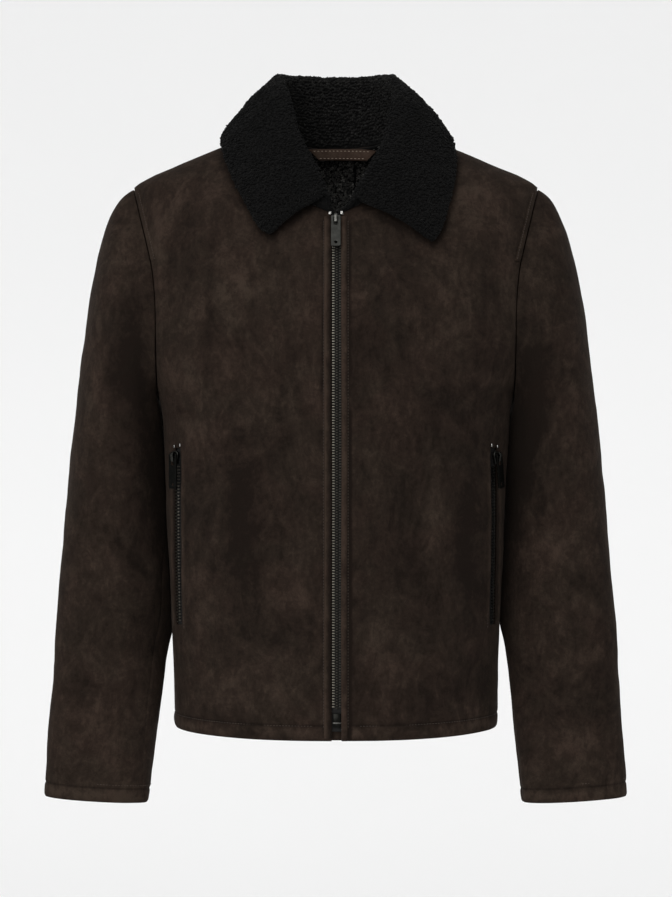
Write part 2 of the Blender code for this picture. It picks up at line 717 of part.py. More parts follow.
def lug_mesh(name):
    """The bridge's side view, about its hole's middle, drawn across the slider's width."""
    rim = BRIDGE_HOLE + BRIDGE_RIM
    back = BRIDGE_OUT - SLIDER_SINK + BRIDGE_ROOT
    outline = [(back, -BRIDGE_FOOT), (-0.4 * rim, -BRIDGE_FOOT)]
    for angle in spaced(*map(math.radians, BRIDGE_TURN), 9):
        outline.append((-rim * math.cos(angle), rim * math.sin(angle)))
    outline += [(back, rim)]
    shape = bmesh.new()
    half = 0.5 * BRIDGE_WIDTH
    face = shape.faces.new([shape.verts.new(Vector((-half, y, z)) * MM) for y, z in outline])
    grown = bmesh.ops.extrude_face_region(shape, geom=[face])["geom"]
    moved = [v for v in grown if isinstance(v, bmesh.types.BMVert)]
    bmesh.ops.translate(shape, verts=moved, vec=Vector((2 * half * MM, 0.0, 0.0)))
    bmesh.ops.recalc_face_normals(shape, faces=shape.faces)
    mesh = bpy.data.meshes.new(name)
    shape.to_mesh(mesh)
    shape.free()
    return mesh


def make_slider(name, x, z, lift, turn, lean):
    """A slider with its bridge, and the pull tab that swings on it, both with their origin on its axis."""
    frame = cloth_frame(x, z, lift, turn, lean)
    hinge = frame @ Matrix.Translation(Vector((0.0, -BRIDGE_OUT, BRIDGE_UP)) * MM)
    to_body = Matrix.Translation(Vector((0.0, BRIDGE_OUT, -BRIDGE_UP)) * MM)
    slider = block(f"{name}_slider", SLIDER_SIZE, "metal")
    slider.data.transform(to_body)
    lug = add_object(f"{name}_lug", lug_mesh(f"{name}_lug"), None, cutter=True)
    hole = peg(f"{name}_lug_hole", BRIDGE_HOLE, 3 * BRIDGE_WIDTH)
    boolean(slider, lug, "UNION")
    boolean(slider, hole, "DIFFERENCE")

    width, thickness, length = TAB_SIZE
    tab = block(f"{name}_pull_tab", TAB_SIZE, "metal")
    tab.data.transform(Matrix.Translation(Vector((0.0, 0.0, TAB_BAR - 0.5 * length)) * MM))
    slot = block(f"{name}_tab_slot", (TAB_SLOT[0], 4 * thickness, TAB_SLOT[1]), None, cutter=True)
    slot.data.transform(Matrix.Translation(Vector((0.0, 0.0, -TAB_BAR - 0.5 * TAB_SLOT[1])) * MM))
    eye = peg(f"{name}_tab_eye", TAB_HOLE, 4 * thickness)
    eye.data.transform(Matrix.Rotation(math.pi / 2, 4, "Z"))
    eye.data.transform(Matrix.Translation(Vector((0.0, 0.0, TAB_BAR - length + TAB_HOLE_UP)) * MM))
    boolean(tab, slot, "DIFFERENCE")
    boolean(tab, eye, "DIFFERENCE")
    for obj in (slider, lug, hole, tab, slot, eye):
        obj.matrix_world = hinge


def make_zip_ends():
    """The front zip's box and every zip's top stops."""
    box = block("front_zip_box", (BOX_WIDTH, BOX_DEPTH, BOX_TOP - ZIP_BOTTOM), "metal")
    box.matrix_world = cloth_frame(0.0, 0.5 * (BOX_TOP + ZIP_BOTTOM), BOX_OUT, 0.0, 0.0)
    for side, sign in (("left", 1), ("right", -1)):
        stop = block(f"front_zip_stop_{side}", STOP_SIZE, "metal")
        stop.matrix_world = cloth_frame(sign * STOP_X, STOP_Z, STOP_OUT, 0.0, 0.0)
        for place, shift, drop in POCKET_STOPS:
            z = POCKET_TOP + POCKET_STOP_SIZE[2] + drop
            stop = block(f"pocket_{side}_stop_{place}", POCKET_STOP_SIZE, "metal")
            stop.matrix_world = cloth_frame(sign * (POCKET_X + shift), z, POCKET_STOP_OUT, 0.0, 0.0)


def build():
    clear_scene()
    for name in ("suede_jacket", "cutters"):
        collection = bpy.data.collections.new(name)
        bpy.context.scene.collection.children.link(collection)
    make_fronts()
    make_back()
    make_sleeves()
    make_straps()
    make_collar()
    make_neck_inside()
    make_zip_cloth()
    for slider in SLIDERS:
        make_slider(*slider)
    make_zip_ends()


build()
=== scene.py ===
"""The look of a suede jacket with a fleece collar, on the solids' own form. Tables are in millimetres."""

import math

import bpy
import bmesh
import numpy as np
from mathutils import Matrix, Vector, noise


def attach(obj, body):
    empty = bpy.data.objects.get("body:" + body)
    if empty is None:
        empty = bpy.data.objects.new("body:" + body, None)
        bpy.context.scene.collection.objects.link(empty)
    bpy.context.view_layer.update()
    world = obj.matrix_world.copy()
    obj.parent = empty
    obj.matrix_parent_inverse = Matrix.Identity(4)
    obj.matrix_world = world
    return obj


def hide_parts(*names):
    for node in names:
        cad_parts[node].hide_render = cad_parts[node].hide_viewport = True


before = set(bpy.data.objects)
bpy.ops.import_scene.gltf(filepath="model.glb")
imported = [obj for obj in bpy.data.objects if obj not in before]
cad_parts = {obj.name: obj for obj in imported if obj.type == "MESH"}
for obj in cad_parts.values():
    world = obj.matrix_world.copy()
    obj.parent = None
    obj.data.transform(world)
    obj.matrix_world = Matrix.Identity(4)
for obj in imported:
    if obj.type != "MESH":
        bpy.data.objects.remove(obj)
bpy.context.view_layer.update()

MM = 0.001
SUEDE = 2.0

# z, half width, depth in front of the side seam, depth behind it
BODY_SECTIONS = (
    (0, 75, 10, 12),
    (-8, 97, 20, 45),
    (-16, 117, 30, 66),
    (-30, 152, 44, 82),
    (-44, 184, 56, 93),
    (-55, 209, 65, 100),
    (-66, 223.5, 73, 105),
    (-80, 224, 85, 110),
    (-100, 224, 98, 116),
    (-140, 223, 116, 126),
    (-180, 221, 128, 133),
    (-220, 218, 136, 137),
    (-250, 211, 139, 137),
    (-275, 202.5, 140, 136),
    (-293, 196, 140, 135),
    (-320, 191.5, 139.5, 132),
    (-343, 190, 139, 130),
    (-424, 186.5, 136, 122),
    (-520, 182, 132, 116),
    (-600, 179.5, 130, 117),
    (-664, 178, 128, 119),
)
SECTION_POWER = 2.45
# z, distance of the armhole seam from the middle
ARMHOLE = (
    (-66, 223.5),
    (-80, 219),
    (-100, 213.7),
    (-137, 204),
    (-160, 199),
    (-190, 196),
    (-220, 195),
    (-250, 195),
    (-275, 195.3),
    (-293, 196),
)
# z, distance of the neck seam from the middle
FRONT_NECK = ((0, 75), (-10, 73), (-25, 69), (-50, 60), (-75, 43), (-90, 25), (-100, 0))
BACK_NECK = ((0, 75), (-4, 70), (-10, 52), (-14, 28), (-16, 0))
SHOULDER_POINT = -66
UNDERARM = -293
HEM = -664
HEM_TURN = 6.0
HEM_STITCHES = 16.0  # the hem's stitches above its edge
HEM_PUFFS = 8.0
HEM_TURN_FROM = -520
# half the width left open between the fronts, on the wearer's left and right
ZIP_GAPS = {1: 6, -1: 4.4}
ZIP_SHIFT = 1.3

# Each sleeve ring's outermost point (x, z) and innermost point (x, z), its half depth, its middle's y, and
# how much of the armhole's outline it keeps, and how far back its inside is drawn
SLEEVE_RINGS = (
    (224.1, -66, 196.6, -293, 82, 0, 1, 0),
    (236.3, -77.4, 195.5, -300, 82, 1, 0.75, 18),
    (246.5, -94, 191.5, -309, 83, 2, 0.5, 28),
    (256, -117, 189, -320, 82, 2, 0.28, 32),
    (264.5, -148, 187, -333, 80, 2, 0.12, 33),
    (271.5, -184, 185.5, -349, 77.5, 2, 0.03, 34),
    (278.5, -230, 184, -371, 74, 1, 0, 36),
    (284.4, -277, 182.5, -397, 70, 0, 0, 38),
    (289.5, -327, 181, -428, 66, -1, 0, 38),
    (294.5, -381, 179.5, -463, 61, -3, 0, 38),
    (299.5, -437, 178, -500, 56, -5, 0, 36),
    (304.3, -490, 178.5, -537, 51, -7, 0, 32),
    (308.6, -545, 185.5, -573, 46.5, -9, 0, 14),
    (312, -603, 191, -618, 42.5, -11, 0, 0),
    (315.8, -659, 197, -667, 39, -13, 0, 0),
    (318.9, -700, 202, -708, 36.5, -14, 0, 0),
    (321.3, -734.5, 205.3, -741.5, 35, -15, 0, 0),
)
SLEEVE_POWER = 2.15
# Ring number, the front seam's angle and the hind seam's, from the sleeve's outside round its front
RIGHT_SEAMS = ((0, 158, 232), (8, 152, 236), (10, 141, 240), (13, 141, 243), (16, 153, 243))
LEFT_SEAMS = ((0, 168, 222), (8, 170, 224), (16, 174, 226))
LEFT_CLEAR = 3
BODY_CLEAR = 1.4

# Collar: the neck seam's level, the fold's x, y, z, and the edge's x, y, z behind, or in front its x, z and
# how far it stands off the cloth
COLLAR_BACK = (
    (-16, (0, 80, 66), (0, 94, -24)),
    (-13, (27, 76, 66), (42, 90, -24)),
    (-8, (48, 60, 65.5), (84, 70, -20)),
    (-3, (60, 38, 64), (111, 42, -13)),
    (0, (65, 12, 59.5), (126, 10, -8)),
)
COLLAR_RIGHT = (
    (-10, (58, -12, 42), (124, -26, 5.5)),
    (-25, (52, -34, 18), (117, -48, 7)),
    (-50, (44.5, -58, -9), (106.5, -72, 7)),
    (-75, (29, -82, -40), (94, -95, 7)),
    (-92, (18, -98, -67), (83, -115, 7)),
    (-99, (12, -104, -81), (70.5, -126, 6.5)),
)
COLLAR_LEFT = (
    (-10, (69, -12, 40), (131, -34, 7)),
    (-25, (65, -34, 15), (129, -58, 8)),
    (-50, (57, -59, -15), (123.5, -84, 8)),
    (-75, (43, -83, -42), (117, -106, 9)),
    (-92, (29.5, -98, -68), (110.5, -123, 9)),
    (-99, (23, -104, -84), (104, -134, 8.5)),
)
COLLAR_RAISE = 0.5
FOLD_HALF = 5

# Creases of the two fronts, seen from the front: x1, z1, x2, z2, x3, z3, width, height
FRONT_CREASES = (
    (-176, -90, -190, -140, -190, -205, 9, 2.6),
    (-160, -95, -172, -150, -168, -230, 12, -1.6),
    (-133, -140, -112, -168, -88, -190, 8, 0.9),
    (-176, -316, -158, -318, -136, -314, 4, -0.9),
    (-172, -330, -140, -336, -104, -326, 10, 1),
    (-92, -350, -100, -430, -112, -545, 18, -2),
    (-60, -450, -40, -500, -18, -550, 9, 1.1),
    (-150, -480, -146, -540, -152, -610, 14, 1.4),
    (-70, -560, -58, -600, -62, -645, 13, 1.2),
    (178, -95, 186, -150, 184, -215, 10, 1.6),
    (150, -120, 160, -180, 152, -260, 14, -1.2),
    (186, -262, 160, -276, 128, -270, 7, 1),
    (180, -300, 150, -318, 112, -312, 7, -1),
    (150, -380, 140, -450, 147, -540, 12, -1.6),
    (112, -360, 104, -430, 110, -500, 12, 1.2),
    (60, -330, 66, -400, 58, -470, 14, -1),
    (150, -560, 130, -590, 96, -600, 10, 1.2),
    (40, -540, 60, -590, 52, -640, 13, 1),
)
# Creases of the back, seen from behind with x still to the wearer's left
BACK_CREASES = (
    (-150, -70, -80, -96, 10, -92, 16, 1.2),
    (165, -90, 172, -150, 166, -230, 12, 1.8),
    (-168, -90, -174, -160, -165, -240, 12, 2),
    (-190, -300, -120, -330, -40, -322, 12, -1.6),
    (186, -320, 110, -352, 30, -340, 13, -1.5),
    (-170, -360, -100, -380, -10, -372, 14, 1.4),
    (60, -420, 70, -500, 62, -600, 20, -1.8),
    (-84, -430, -78, -520, -90, -620, 22, 1.6),
    (140, -450, 132, -530, 142, -620, 16, 1.5),
)
# Creases of the sleeves: distance down the sleeve from 0 to 1, angle in degrees, both again, width, height
RIGHT_SLEEVE_CREASES = (
    (0.05, 60, 0.30, 76, 13, 1.8),
    (0.10, 110, 0.34, 118, 12, -1.8),
    (0.34, 40, 0.40, 120, 10, -1.2),
    (0.45, 50, 0.52, 120, 9, 1.3),
    (0.50, 60, 0.56, 130, 9, -1.5),
    (0.72, 30, 0.77, 110, 7, 1.2),
    (0.78, 40, 0.80, 130, 7, -1.2),
    (0.84, 20, 0.88, 100, 8, 1),
    (0.36, 200, 0.40, 300, 10, -1.6),
    (0.46, 210, 0.47, 310, 9, 1.5),
    (0.53, 190, 0.56, 290, 9, -1.4),
    (0.75, 220, 0.78, 320, 8, -1.1),
    (0.30, -20, 0.70, -12, 16, 1),
)
LEFT_SLEEVE_CREASES = (
    (0.06, 62, 0.14, 84, 6, 1.4),
    (0.10, 50, 0.16, 78, 6, -1.4),
    (0.14, 96, 0.32, 104, 13, -1.8),
    (0.28, 40, 0.33, 120, 9, 1.2),
    (0.40, 60, 0.47, 130, 10, -1.4),
    (0.50, 40, 0.58, 110, 9, 1.4),
    (0.62, 60, 0.66, 140, 8, -1.2),
    (0.74, 30, 0.75, 120, 7, 1.2),
    (0.82, 40, 0.84, 130, 7, -1),
    (0.88, 30, 0.90, 110, 8, 1),
    (0.38, 210, 0.41, 310, 10, -1.5),
    (0.48, 200, 0.50, 300, 9, 1.5),
    (0.57, 220, 0.60, 310, 9, -1.3),
    (0.25, -16, 0.68, -24, 16, 1),
)


def between(values, slopes, i, span, t):
    """A cubic curve from value i to the next, at the share t of the span between them."""
    return (
        (2 * t**3 - 3 * t**2 + 1) * values[i]
        + (t**3 - 2 * t**2 + t) * span * slopes[i]
        + (3 * t**2 - 2 * t**3) * values[i + 1]
        + (t**3 - t**2) * span * slopes[i + 1]
    )


def smooth(table, at, column):
    """A table's column read along a curve that passes through every row and never overshoots."""
    rows = sorted(table)
    keys = np.array([row[0] for row in rows], float)
    values = np.array([row[column] for row in rows], float)
    steps = np.diff(values) / np.diff(keys)
    product = steps[:-1] * steps[1:]
    total = np.where(np.abs(steps[:-1] + steps[1:]) < 1e-12, 1.0, steps[:-1] + steps[1:])
    slopes = np.empty_like(values)
    slopes[1:-1] = np.where(product > 0, 2 * product / total, 0.0)
    slopes[0], slopes[-1] = steps[0], steps[-1]
    at = np.clip(np.asarray(at, float), keys[0], keys[-1])
    i = np.clip(np.searchsorted(keys, at, side="right") - 1, 0, len(keys) - 2)
    span = keys[i + 1] - keys[i]
    t = (at - keys[i]) / span
    return between(values, slopes, i, span, t)


def bell(distance, width):
    return np.exp(-((distance / width) ** 2))


def fade(distance, over, low=0.0):
    """A share that grows with the distance, from a lowest value to 1."""
    return np.clip(distance / over, low, 1.0)


def angle_at(z, x):
    share = np.clip(np.abs(x) / smooth(BODY_SECTIONS, z, 1), 0.0, 1.0)
    return np.arcsin(share ** (SECTION_POWER / 2))


def body(angle, z, front=True):
    """Points of the body's outer surface on the wearer's left."""
    angle, z = np.broadcast_arrays(np.asarray(angle, float), np.asarray(z, float))
    sine, cosine = np.sin(angle), np.maximum(np.cos(angle), 0.0)
    x = smooth(BODY_SECTIONS, z, 1) * sine ** (2 / SECTION_POWER)
    y = smooth(BODY_SECTIONS, z, 2 if front else 3) * cosine ** (2 / SECTION_POWER)
    low = np.maximum(0.0, (HEM_TURN_FROM - z) / (HEM_TURN_FROM - HEM))
    return np.stack([x, -y if front else y, z + HEM_TURN * low * sine**2], -1)


def body_normal(angle, z, front=True):
    inner = np.clip(angle, 0.02, math.pi / 2 - 0.02)
    across = body(inner + 0.01, z, front) - body(inner - 0.01, z, front)
    along = body(inner, z + 0.5, front) - body(inner, z - 0.5, front)
    normal = np.cross(across, along)
    outward = np.stack([np.sin(inner), -np.cos(inner) if front else np.cos(inner), 0 * inner], -1)
    normal *= np.sign((normal * outward).sum(-1, keepdims=True))
    return normal / np.linalg.norm(normal, axis=-1, keepdims=True)


def on_body(x, z, out, front=True):
    """Places on the body seen at x and z, moved out along the surface's normal."""
    x, z = np.broadcast_arrays(np.asarray(x, float), np.asarray(z, float))
    angle = angle_at(z, x)
    point = body(angle, z, front) + np.asarray(out)[..., None] * body_normal(angle, z, front)
    point[..., 0] *= np.where(x < 0, -1.0, 1.0)
    return point


def grid_normals(points):
    along = np.gradient(points, axis=0)
    across = np.gradient(points, axis=1)
    normal = np.cross(across, along)
    return normal / np.maximum(np.linalg.norm(normal, axis=-1, keepdims=True), 1e-9)


def quad_faces(rows, columns, start=0):
    index = start + np.arange(rows * columns).reshape(rows, columns)
    return np.stack([index[:-1, :-1], index[:-1, 1:], index[1:, 1:], index[1:, :-1]], -1).reshape(-1, 4)


def add_object(name, data):
    obj = bpy.data.objects.new(name, data)
    bpy.context.scene.collection.objects.link(obj)
    return obj


def new_mesh(name, points, faces, material, tone_and_shading=None):
    """A mesh from points in millimetres, each with its tone if the piece has one."""
    mesh = bpy.data.meshes.new(name)
    mesh.from_pydata((points * MM).tolist(), [], faces)
    if tone_and_shading is not None:
        # the tone: painted light and shade, and on the suede its nap as well
        layer = mesh.attributes.new("tone_and_shading", "FLOAT", "POINT")
        layer.data.foreach_set("value", np.asarray(tone_and_shading, np.float32).ravel())
    mesh.shade_smooth()
    mesh.materials.append(material)
    return mesh


def make_sheet(name, points, faces, material, thickness, tone_and_shading=None, weld=False):
    """An open sheet given its wall, on the inner side of its points."""
    mesh = new_mesh(name, points.reshape(-1, 3), faces.tolist(), material, tone_and_shading)
    if weld:
        work = bmesh.new()
        work.from_mesh(mesh)
        bmesh.ops.remove_doubles(work, verts=work.verts, dist=2e-5)
        work.to_mesh(mesh)
        work.free()
    obj = add_object(name, mesh)
    wall = obj.modifiers.new("wall", "SOLIDIFY")
    wall.thickness = thickness * MM
    wall.offset = -1.0
    wall.use_even_offset = False
    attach(obj, "jacket")
    return obj


WORN = {"held": "hung", "rests_on": ["wearer_shoulders"]}


def declare(obj, slot, node, **cut):
    """Hides the CAD node that a piece of cloth stands for."""
    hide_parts(node)


def edge_spaced(length, pitch, first=(), last=()):
    """Shares from 0 to 1 at a pitch in millimetres, closer at the given distances from each end."""
    start, end = (first[-1] if first else 0.0), (last[-1] if last else 0.0)
    middle = np.linspace(start, length - end, max(2, round((length - start - end) / pitch) + 1))
    at = np.concatenate([first[:-1], middle, length - np.array(last[-2::-1])])
    return np.unique(np.round(at, 4)) / length


SEAM_EDGE = (0.0, 0.7, 1.5, 2.6, 4.2, 6.6)
LIP_EDGE = (0.0, 0.8, 2.0, 3.4, 5.2)
HEM_EDGE = (0.0, 0.7, 1.6, 3.2, 6.0, 9.0, 12.0, 14.0, 15.0, 16.0, 17.0, 18.0, 20.0, 23.0)


def run_along(points):
    """Each point's distance along a line of points."""
    return np.concatenate([[0.0], np.cumsum(np.linalg.norm(np.diff(points, axis=0), axis=1))])


def line_distance(points, line):
    """Each point's distance from a polyline and its share of the way along it."""
    best = np.full(points.shape[:-1], 1e9)
    share = np.zeros(points.shape[:-1])
    for i in range(len(line) - 1):
        a, b = line[i], line[i + 1]
        t = np.clip(((points - a) @ (b - a)) / ((b - a) @ (b - a)), 0, 1)
        gap = np.linalg.norm(points - (a + t[..., None] * (b - a)), axis=-1)
        near = gap < best
        best = np.where(near, gap, best)
        share = np.where(near, (i + t) / (len(line) - 1), share)
    return best, share


def curve_through(a, b, c, count=9):
    t = np.linspace(0, 1, count)[:, None]
    middle = 2 * b - 0.5 * (a + c)
    return (1 - t) ** 2 * a + 2 * t * (1 - t) * middle + t**2 * c


def creases(plane, table):
    """Soft ridges and troughs, uneven along their length and dying away at both ends."""
    height = np.zeros(plane.shape[:-1])
    for number, (x1, z1, x2, z2, x3, z3, width, depth) in enumerate(table):
        line = curve_through(np.array([x1, z1]), np.array([x2, z2]), np.array([x3, z3]))
        gap, share = line_distance(plane, line)
        swell = 0.75 + 0.25 * np.sin(7.0 * share + number)
        ends = np.sin(np.pi * np.clip(share, 0.02, 0.98)) ** 0.7
        height += depth * swell * ends * bell(gap, width)
    return height


def lumps(points, size, height, seed):
    """A soft uneven swell of the surface."""
    flat = points.reshape(-1, 3) / size + seed
    values = [noise.fractal(Vector(p), 1.0, 2.0, 3) for p in flat.tolist()]
    return height * np.array(values).reshape(points.shape[:-1])


def edge_dip(distance, depth=1.0, reach=2.4):
    """How the cloth rolls down into a seam or over its own edge."""
    return -depth * bell(distance, reach)


class Look:
    """A material being put together, with short ways to add the nodes used here."""

    def __init__(self, name):
        self.material = bpy.data.materials.new(name)
        self.material.use_nodes = True
        self.nodes, self.links = self.material.node_tree.nodes, self.material.node_tree.links
        self.shader = self.nodes["Principled BSDF"]
        self.where = self.nodes.new("ShaderNodeTexCoord").outputs["Object"]

    def feed(self, inputs, values):
        for socket, value in zip(inputs, values):
            if isinstance(value, bpy.types.NodeSocket):
                self.links.new(value, socket)
            else:
                socket.default_value = value

    def noise(self, scale, detail, roughness=0.6, stretch=(1, 1, 1), turn=(0, 0, 0), distortion=0.0):
        place = self.nodes.new("ShaderNodeMapping")
        self.feed([place.inputs[key] for key in ("Vector", "Rotation", "Scale")], (self.where, turn, stretch))
        made = self.nodes.new("ShaderNodeTexNoise")
        keys = ("Vector", "Scale", "Detail", "Roughness", "Distortion")
        values = (place.outputs["Vector"], scale, detail, roughness, distortion)
        self.feed([made.inputs[key] for key in keys], values)
        return made.outputs["Fac"]

    def tone_and_shading(self):
        """The tone given to each point of a piece: painted light and shade, and on the suede its nap as well."""
        made = self.nodes.new("ShaderNodeAttribute")
        made.attribute_name = "tone_and_shading"
        return made.outputs["Fac"]

    def ramp(self, value, *stops):
        made = self.nodes.new("ShaderNodeValToRGB")
        elements = made.color_ramp.elements
        while len(elements) < len(stops):
            elements.new(0.5)
        for element, (at, shade) in zip(elements, stops):
            element.position = at
            element.color = (*shade, 1.0) if hasattr(shade, "__len__") else (shade, shade, shade, 1.0)
        self.links.new(value, made.inputs["Fac"])
        return made.outputs["Color"]

    def sum(self, *parts):
        """Values added up, each with its share."""
        total = None
        for value, share in parts:
            part = self.math("MULTIPLY", value, share)
            total = part if total is None else self.math("ADD", total, part)
        return total

    def math(self, operation, first, second):
        made = self.nodes.new("ShaderNodeMath")
        made.operation = operation
        self.feed(made.inputs, (first, second))
        return made.outputs["Value"]

    def overlay(self, amount, first, second):
        made = self.nodes.new("ShaderNodeMixRGB")
        made.blend_type = "OVERLAY"
        self.feed(made.inputs, (amount, first, second))
        return made.outputs["Color"]

    def bump(self, height, strength, distance, normal=None):
        made = self.nodes.new("ShaderNodeBump")
        made.inputs["Strength"].default_value = strength
        made.inputs["Distance"].default_value = distance
        self.links.new(height, made.inputs["Height"])
        if normal is not None:
            self.links.new(normal, made.inputs["Normal"])
        self.links.new(made.outputs["Normal"], self.shader.inputs["Normal"])
        return made.outputs["Normal"]

    def done(self, colour, **surface):
        """The material with its colour led in and its other surface values set."""
        self.links.new(colour, self.shader.inputs["Base Color"])
        for key, value in surface.items():
            self.shader.inputs[key.replace("_", " ")].default_value = value
        return self.material


def suede_look(name, dark, middle, light):
    look = Look(name)
    clouds = look.noise(11.0, 8.0, 0.70, distortion=0.8)
    smears = look.noise(24.0, 7.0, 0.70, (1.0, 1.0, 0.7), (0.0, 0.5, 0.0), 2.2)
    strokes = look.noise(62.0, 6.0, 0.68, (1.3, 1.0, 0.6), (0.1, -0.5, 0.0), 1.4)
    flecks = look.noise(210.0, 4.0, 0.65, distortion=0.8)
    edges = look.noise(13.0, 5.0, 0.62, (1.0, 1.0, 0.75), (0.0, 0.7, 0.0), 3.0)
    edges = look.ramp(edges, (0.44, 0.0), (0.50, 0.42), (0.515, 0.75), (0.60, 1.0))
    total = look.sum(
        (clouds, 0.22), (smears, 0.26), (strokes, 0.24), (flecks, 0.22), (edges, 0.046), (look.tone_and_shading(), 0.080)
    )
    tone = look.ramp(total, (0.385, dark), (0.500, middle), (0.622, light))
    warm = look.noise(17.0, 5.0, distortion=0.8)
    tint = look.ramp(warm, (0.40, (0.49, 0.505, 0.50)), (0.60, (0.515, 0.497, 0.50)))
    tone = look.overlay(1.0, tone, tint)
    grain = look.noise(1100.0, 2.0, 0.7)
    tone = look.overlay(0.5, tone, look.ramp(grain, (0.3, 0.36), (0.7, 0.64)))
    look.bump(smears, 0.3, 0.0030, look.bump(grain, 0.4, 0.0006))
    return look.done(
        tone, Roughness=0.95, Specular_IOR_Level=0.10, Sheen_Weight=0.05, Sheen_Roughness=0.4,
        Sheen_Tint=(0.50, 0.38, 0.30, 1.0),
    )


def fleece_look(name):
    look = Look(name)
    fibres = look.noise(1300.0, 3.0, 0.7, distortion=2.0)
    locks = look.noise(240.0, 3.0)
    total = look.sum((fibres, 0.6), (locks, 0.4))
    middle, light = (0.0018, 0.00175, 0.0016), (0.0100, 0.0097, 0.0090)
    tone = look.ramp(total, (0.42, 0.0004), (0.53, middle), (0.66, light))
    lit = look.nodes.new("ShaderNodeVectorMath")
    lit.operation = "SCALE"
    look.links.new(tone, lit.inputs[0])
    look.links.new(look.math("ADD", look.tone_and_shading(), 1.0), lit.inputs["Scale"])
    look.bump(fibres, 0.6, 0.0008)
    return look.done(
        lit.outputs["Vector"], Roughness=0.9, Specular_IOR_Level=0.15, Sheen_Weight=0.02, Sheen_Roughness=0.5
    )


def metal_look(name, colour, roughness):
    look = Look(name)
    wear = look.noise(260.0, 3.0)
    pale = tuple(min(1.0, 1.5 * c) for c in colour)
    look.bump(wear, 0.1, 0.0003)
    return look.done(look.ramp(wear, (0.35, colour), (0.7, pale)), Metallic=1.0, Roughness=roughness)


def weave_look(name, colour):
    look = Look(name)
    ribs = look.nodes.new("ShaderNodeTexWave")
    ribs.bands_direction = "Z"
    ribs.inputs["Scale"].default_value = 320.0
    look.links.new(look.where, ribs.inputs["Vector"])
    pale = tuple(1.8 * c for c in colour)
    look.bump(ribs.outputs["Fac"], 0.4, 0.0004)
    return look.done(look.ramp(ribs.outputs["Fac"], (0.2, colour), (0.8, pale)), Roughness=0.9)


def paper_look(name):
    look = Look(name)
    soft = look.ramp(look.noise(1.0, 2.0), (0.3, 0.908), (0.7, 0.913))
    return look.done(soft, Roughness=1.0, Specular_IOR_Level=0.0)


SUEDE_LOOK = suede_look(
    "suede_look", (0.0105, 0.0069, 0.0050), (0.0225, 0.0150, 0.0109), (0.043, 0.0293, 0.0215)
)
LOOP_LOOK = suede_look(
    "loop_suede_look", (0.044, 0.0275, 0.0205), (0.066, 0.043, 0.032), (0.092, 0.062, 0.047)
)
FLEECE_LOOK = fleece_look("fleece_look")
METAL_LOOK = metal_look("dark_metal_look", (0.034, 0.034, 0.031), 0.36)
# black metal, which also paints shade on one column of the left pocket's teeth
BLACK_METAL_AND_SHADE_LOOK = metal_look("black_metal_and_shade_look", (0.010, 0.010, 0.009), 0.30)
# a paler copy of the dark metal: a painted highlight on the front slider's bridge and the zip box's band
LIT_METAL_LOOK = metal_look("lit_metal_look", (0.075, 0.074, 0.068), 0.34)
TEETH_LOOK = metal_look("teeth_look", (0.034, 0.031, 0.026), 0.34)
# a paler copy of the teeth's metal: a painted highlight on teeth that face the light
LIT_TEETH_LOOK = metal_look("lit_teeth_look", (0.125, 0.115, 0.095), 0.30)
STEEL_LOOK = metal_look("steel_look", (0.40, 0.39, 0.37), 0.25)
TAPE_LOOK = weave_look("tape_look", (0.006, 0.0055, 0.005))
THREAD_LOOK = weave_look("thread_look", (0.045, 0.033, 0.026))
PALE_THREAD_LOOK = weave_look("pale_thread_look", (0.23, 0.18, 0.14))
PAPER_LOOK = paper_look("paper_look")

# Where the fronts are paler or darker: the nap brushed so, and broadly paler over the upper chest and
# darker over the lower fronts: x, z, half width, half height, lean in degrees, tone
FRONT_NAP = (
    (-108, -165, 30, 52, -25, 0.7),
    (-134, -200, 5, 60, 0, -0.7),
    (-95, -182, 4, 34, 45, 0.7),
    (-165, -250, 20, 60, 0, 0.5),
    (-150, -330, 28, 14, 0, 0.6),
    (-98, -460, 18, 110, 4, -0.6),
    (-45, -500, 34, 34, 40, 0.9),
    (-100, -600, 60, 30, 10, 0.6),
    (-150, -520, 16, 70, 0, 0.4),
    (120, -200, 40, 50, 15, 0.5),
    (60, -230, 30, 60, 0, -0.4),
    (150, -300, 36, 16, 0, -0.5),
    (60, -330, 26, 50, 10, 0.5),
    (150, -450, 20, 90, 4, -0.4),
    (105, -420, 16, 60, 0, 0.5),
    (60, -560, 50, 40, -20, 0.7),
    (130, -600, 40, 22, 10, -0.4),
    (120, -75, 75, 34, -24, 1),
    (-150, -70, 50, 26, 24, 0.3),
    (-105, -460, 90, 170, 0, -0.35),
    (100, -450, 95, 190, 0, -0.6),
)


# The same on each sleeve, where the strongest dark patches, toward the body, are painted shade and the
# rest are nap: distance round it from its outside, distance down it, and as above
SLEEVE_NAP_AND_SHADE = {
    "right": (
        (92, 110, 34, 120, 0, -1.7),
        (150, 230, 26, 160, 0, -1),
        (46, 120, 12, 120, 0, 0.5),
        (80, 20, 50, 30, 0, 0.4),
        (120, 300, 30, 60, 10, -0.5),
        (70, 390, 40, 50, -20, 0.3),
        (110, 560, 40, 40, 20, 0.5),
    ),
    "left": (
        (132, 130, 40, 150, 0, -1.9),
        (160, 260, 24, 140, 0, -1.2),
        (95, 150, 24, 60, 10, -0.6),
        (60, 60, 20, 40, 0, -0.4),
        (100, 330, 30, 60, 30, 0.4),
        (120, 440, 40, 40, -10, 0.3),
        (90, 590, 40, 30, 20, 0.5),
    ),
}


def lip_shading(off):
    """A pocket's lips: painted shade along the edge at the slit and a painted highlight on the fold beside it."""
    return 1.2 * bell(off - 2.6, 1.4) - 2.2 * bell(off, 1.1)


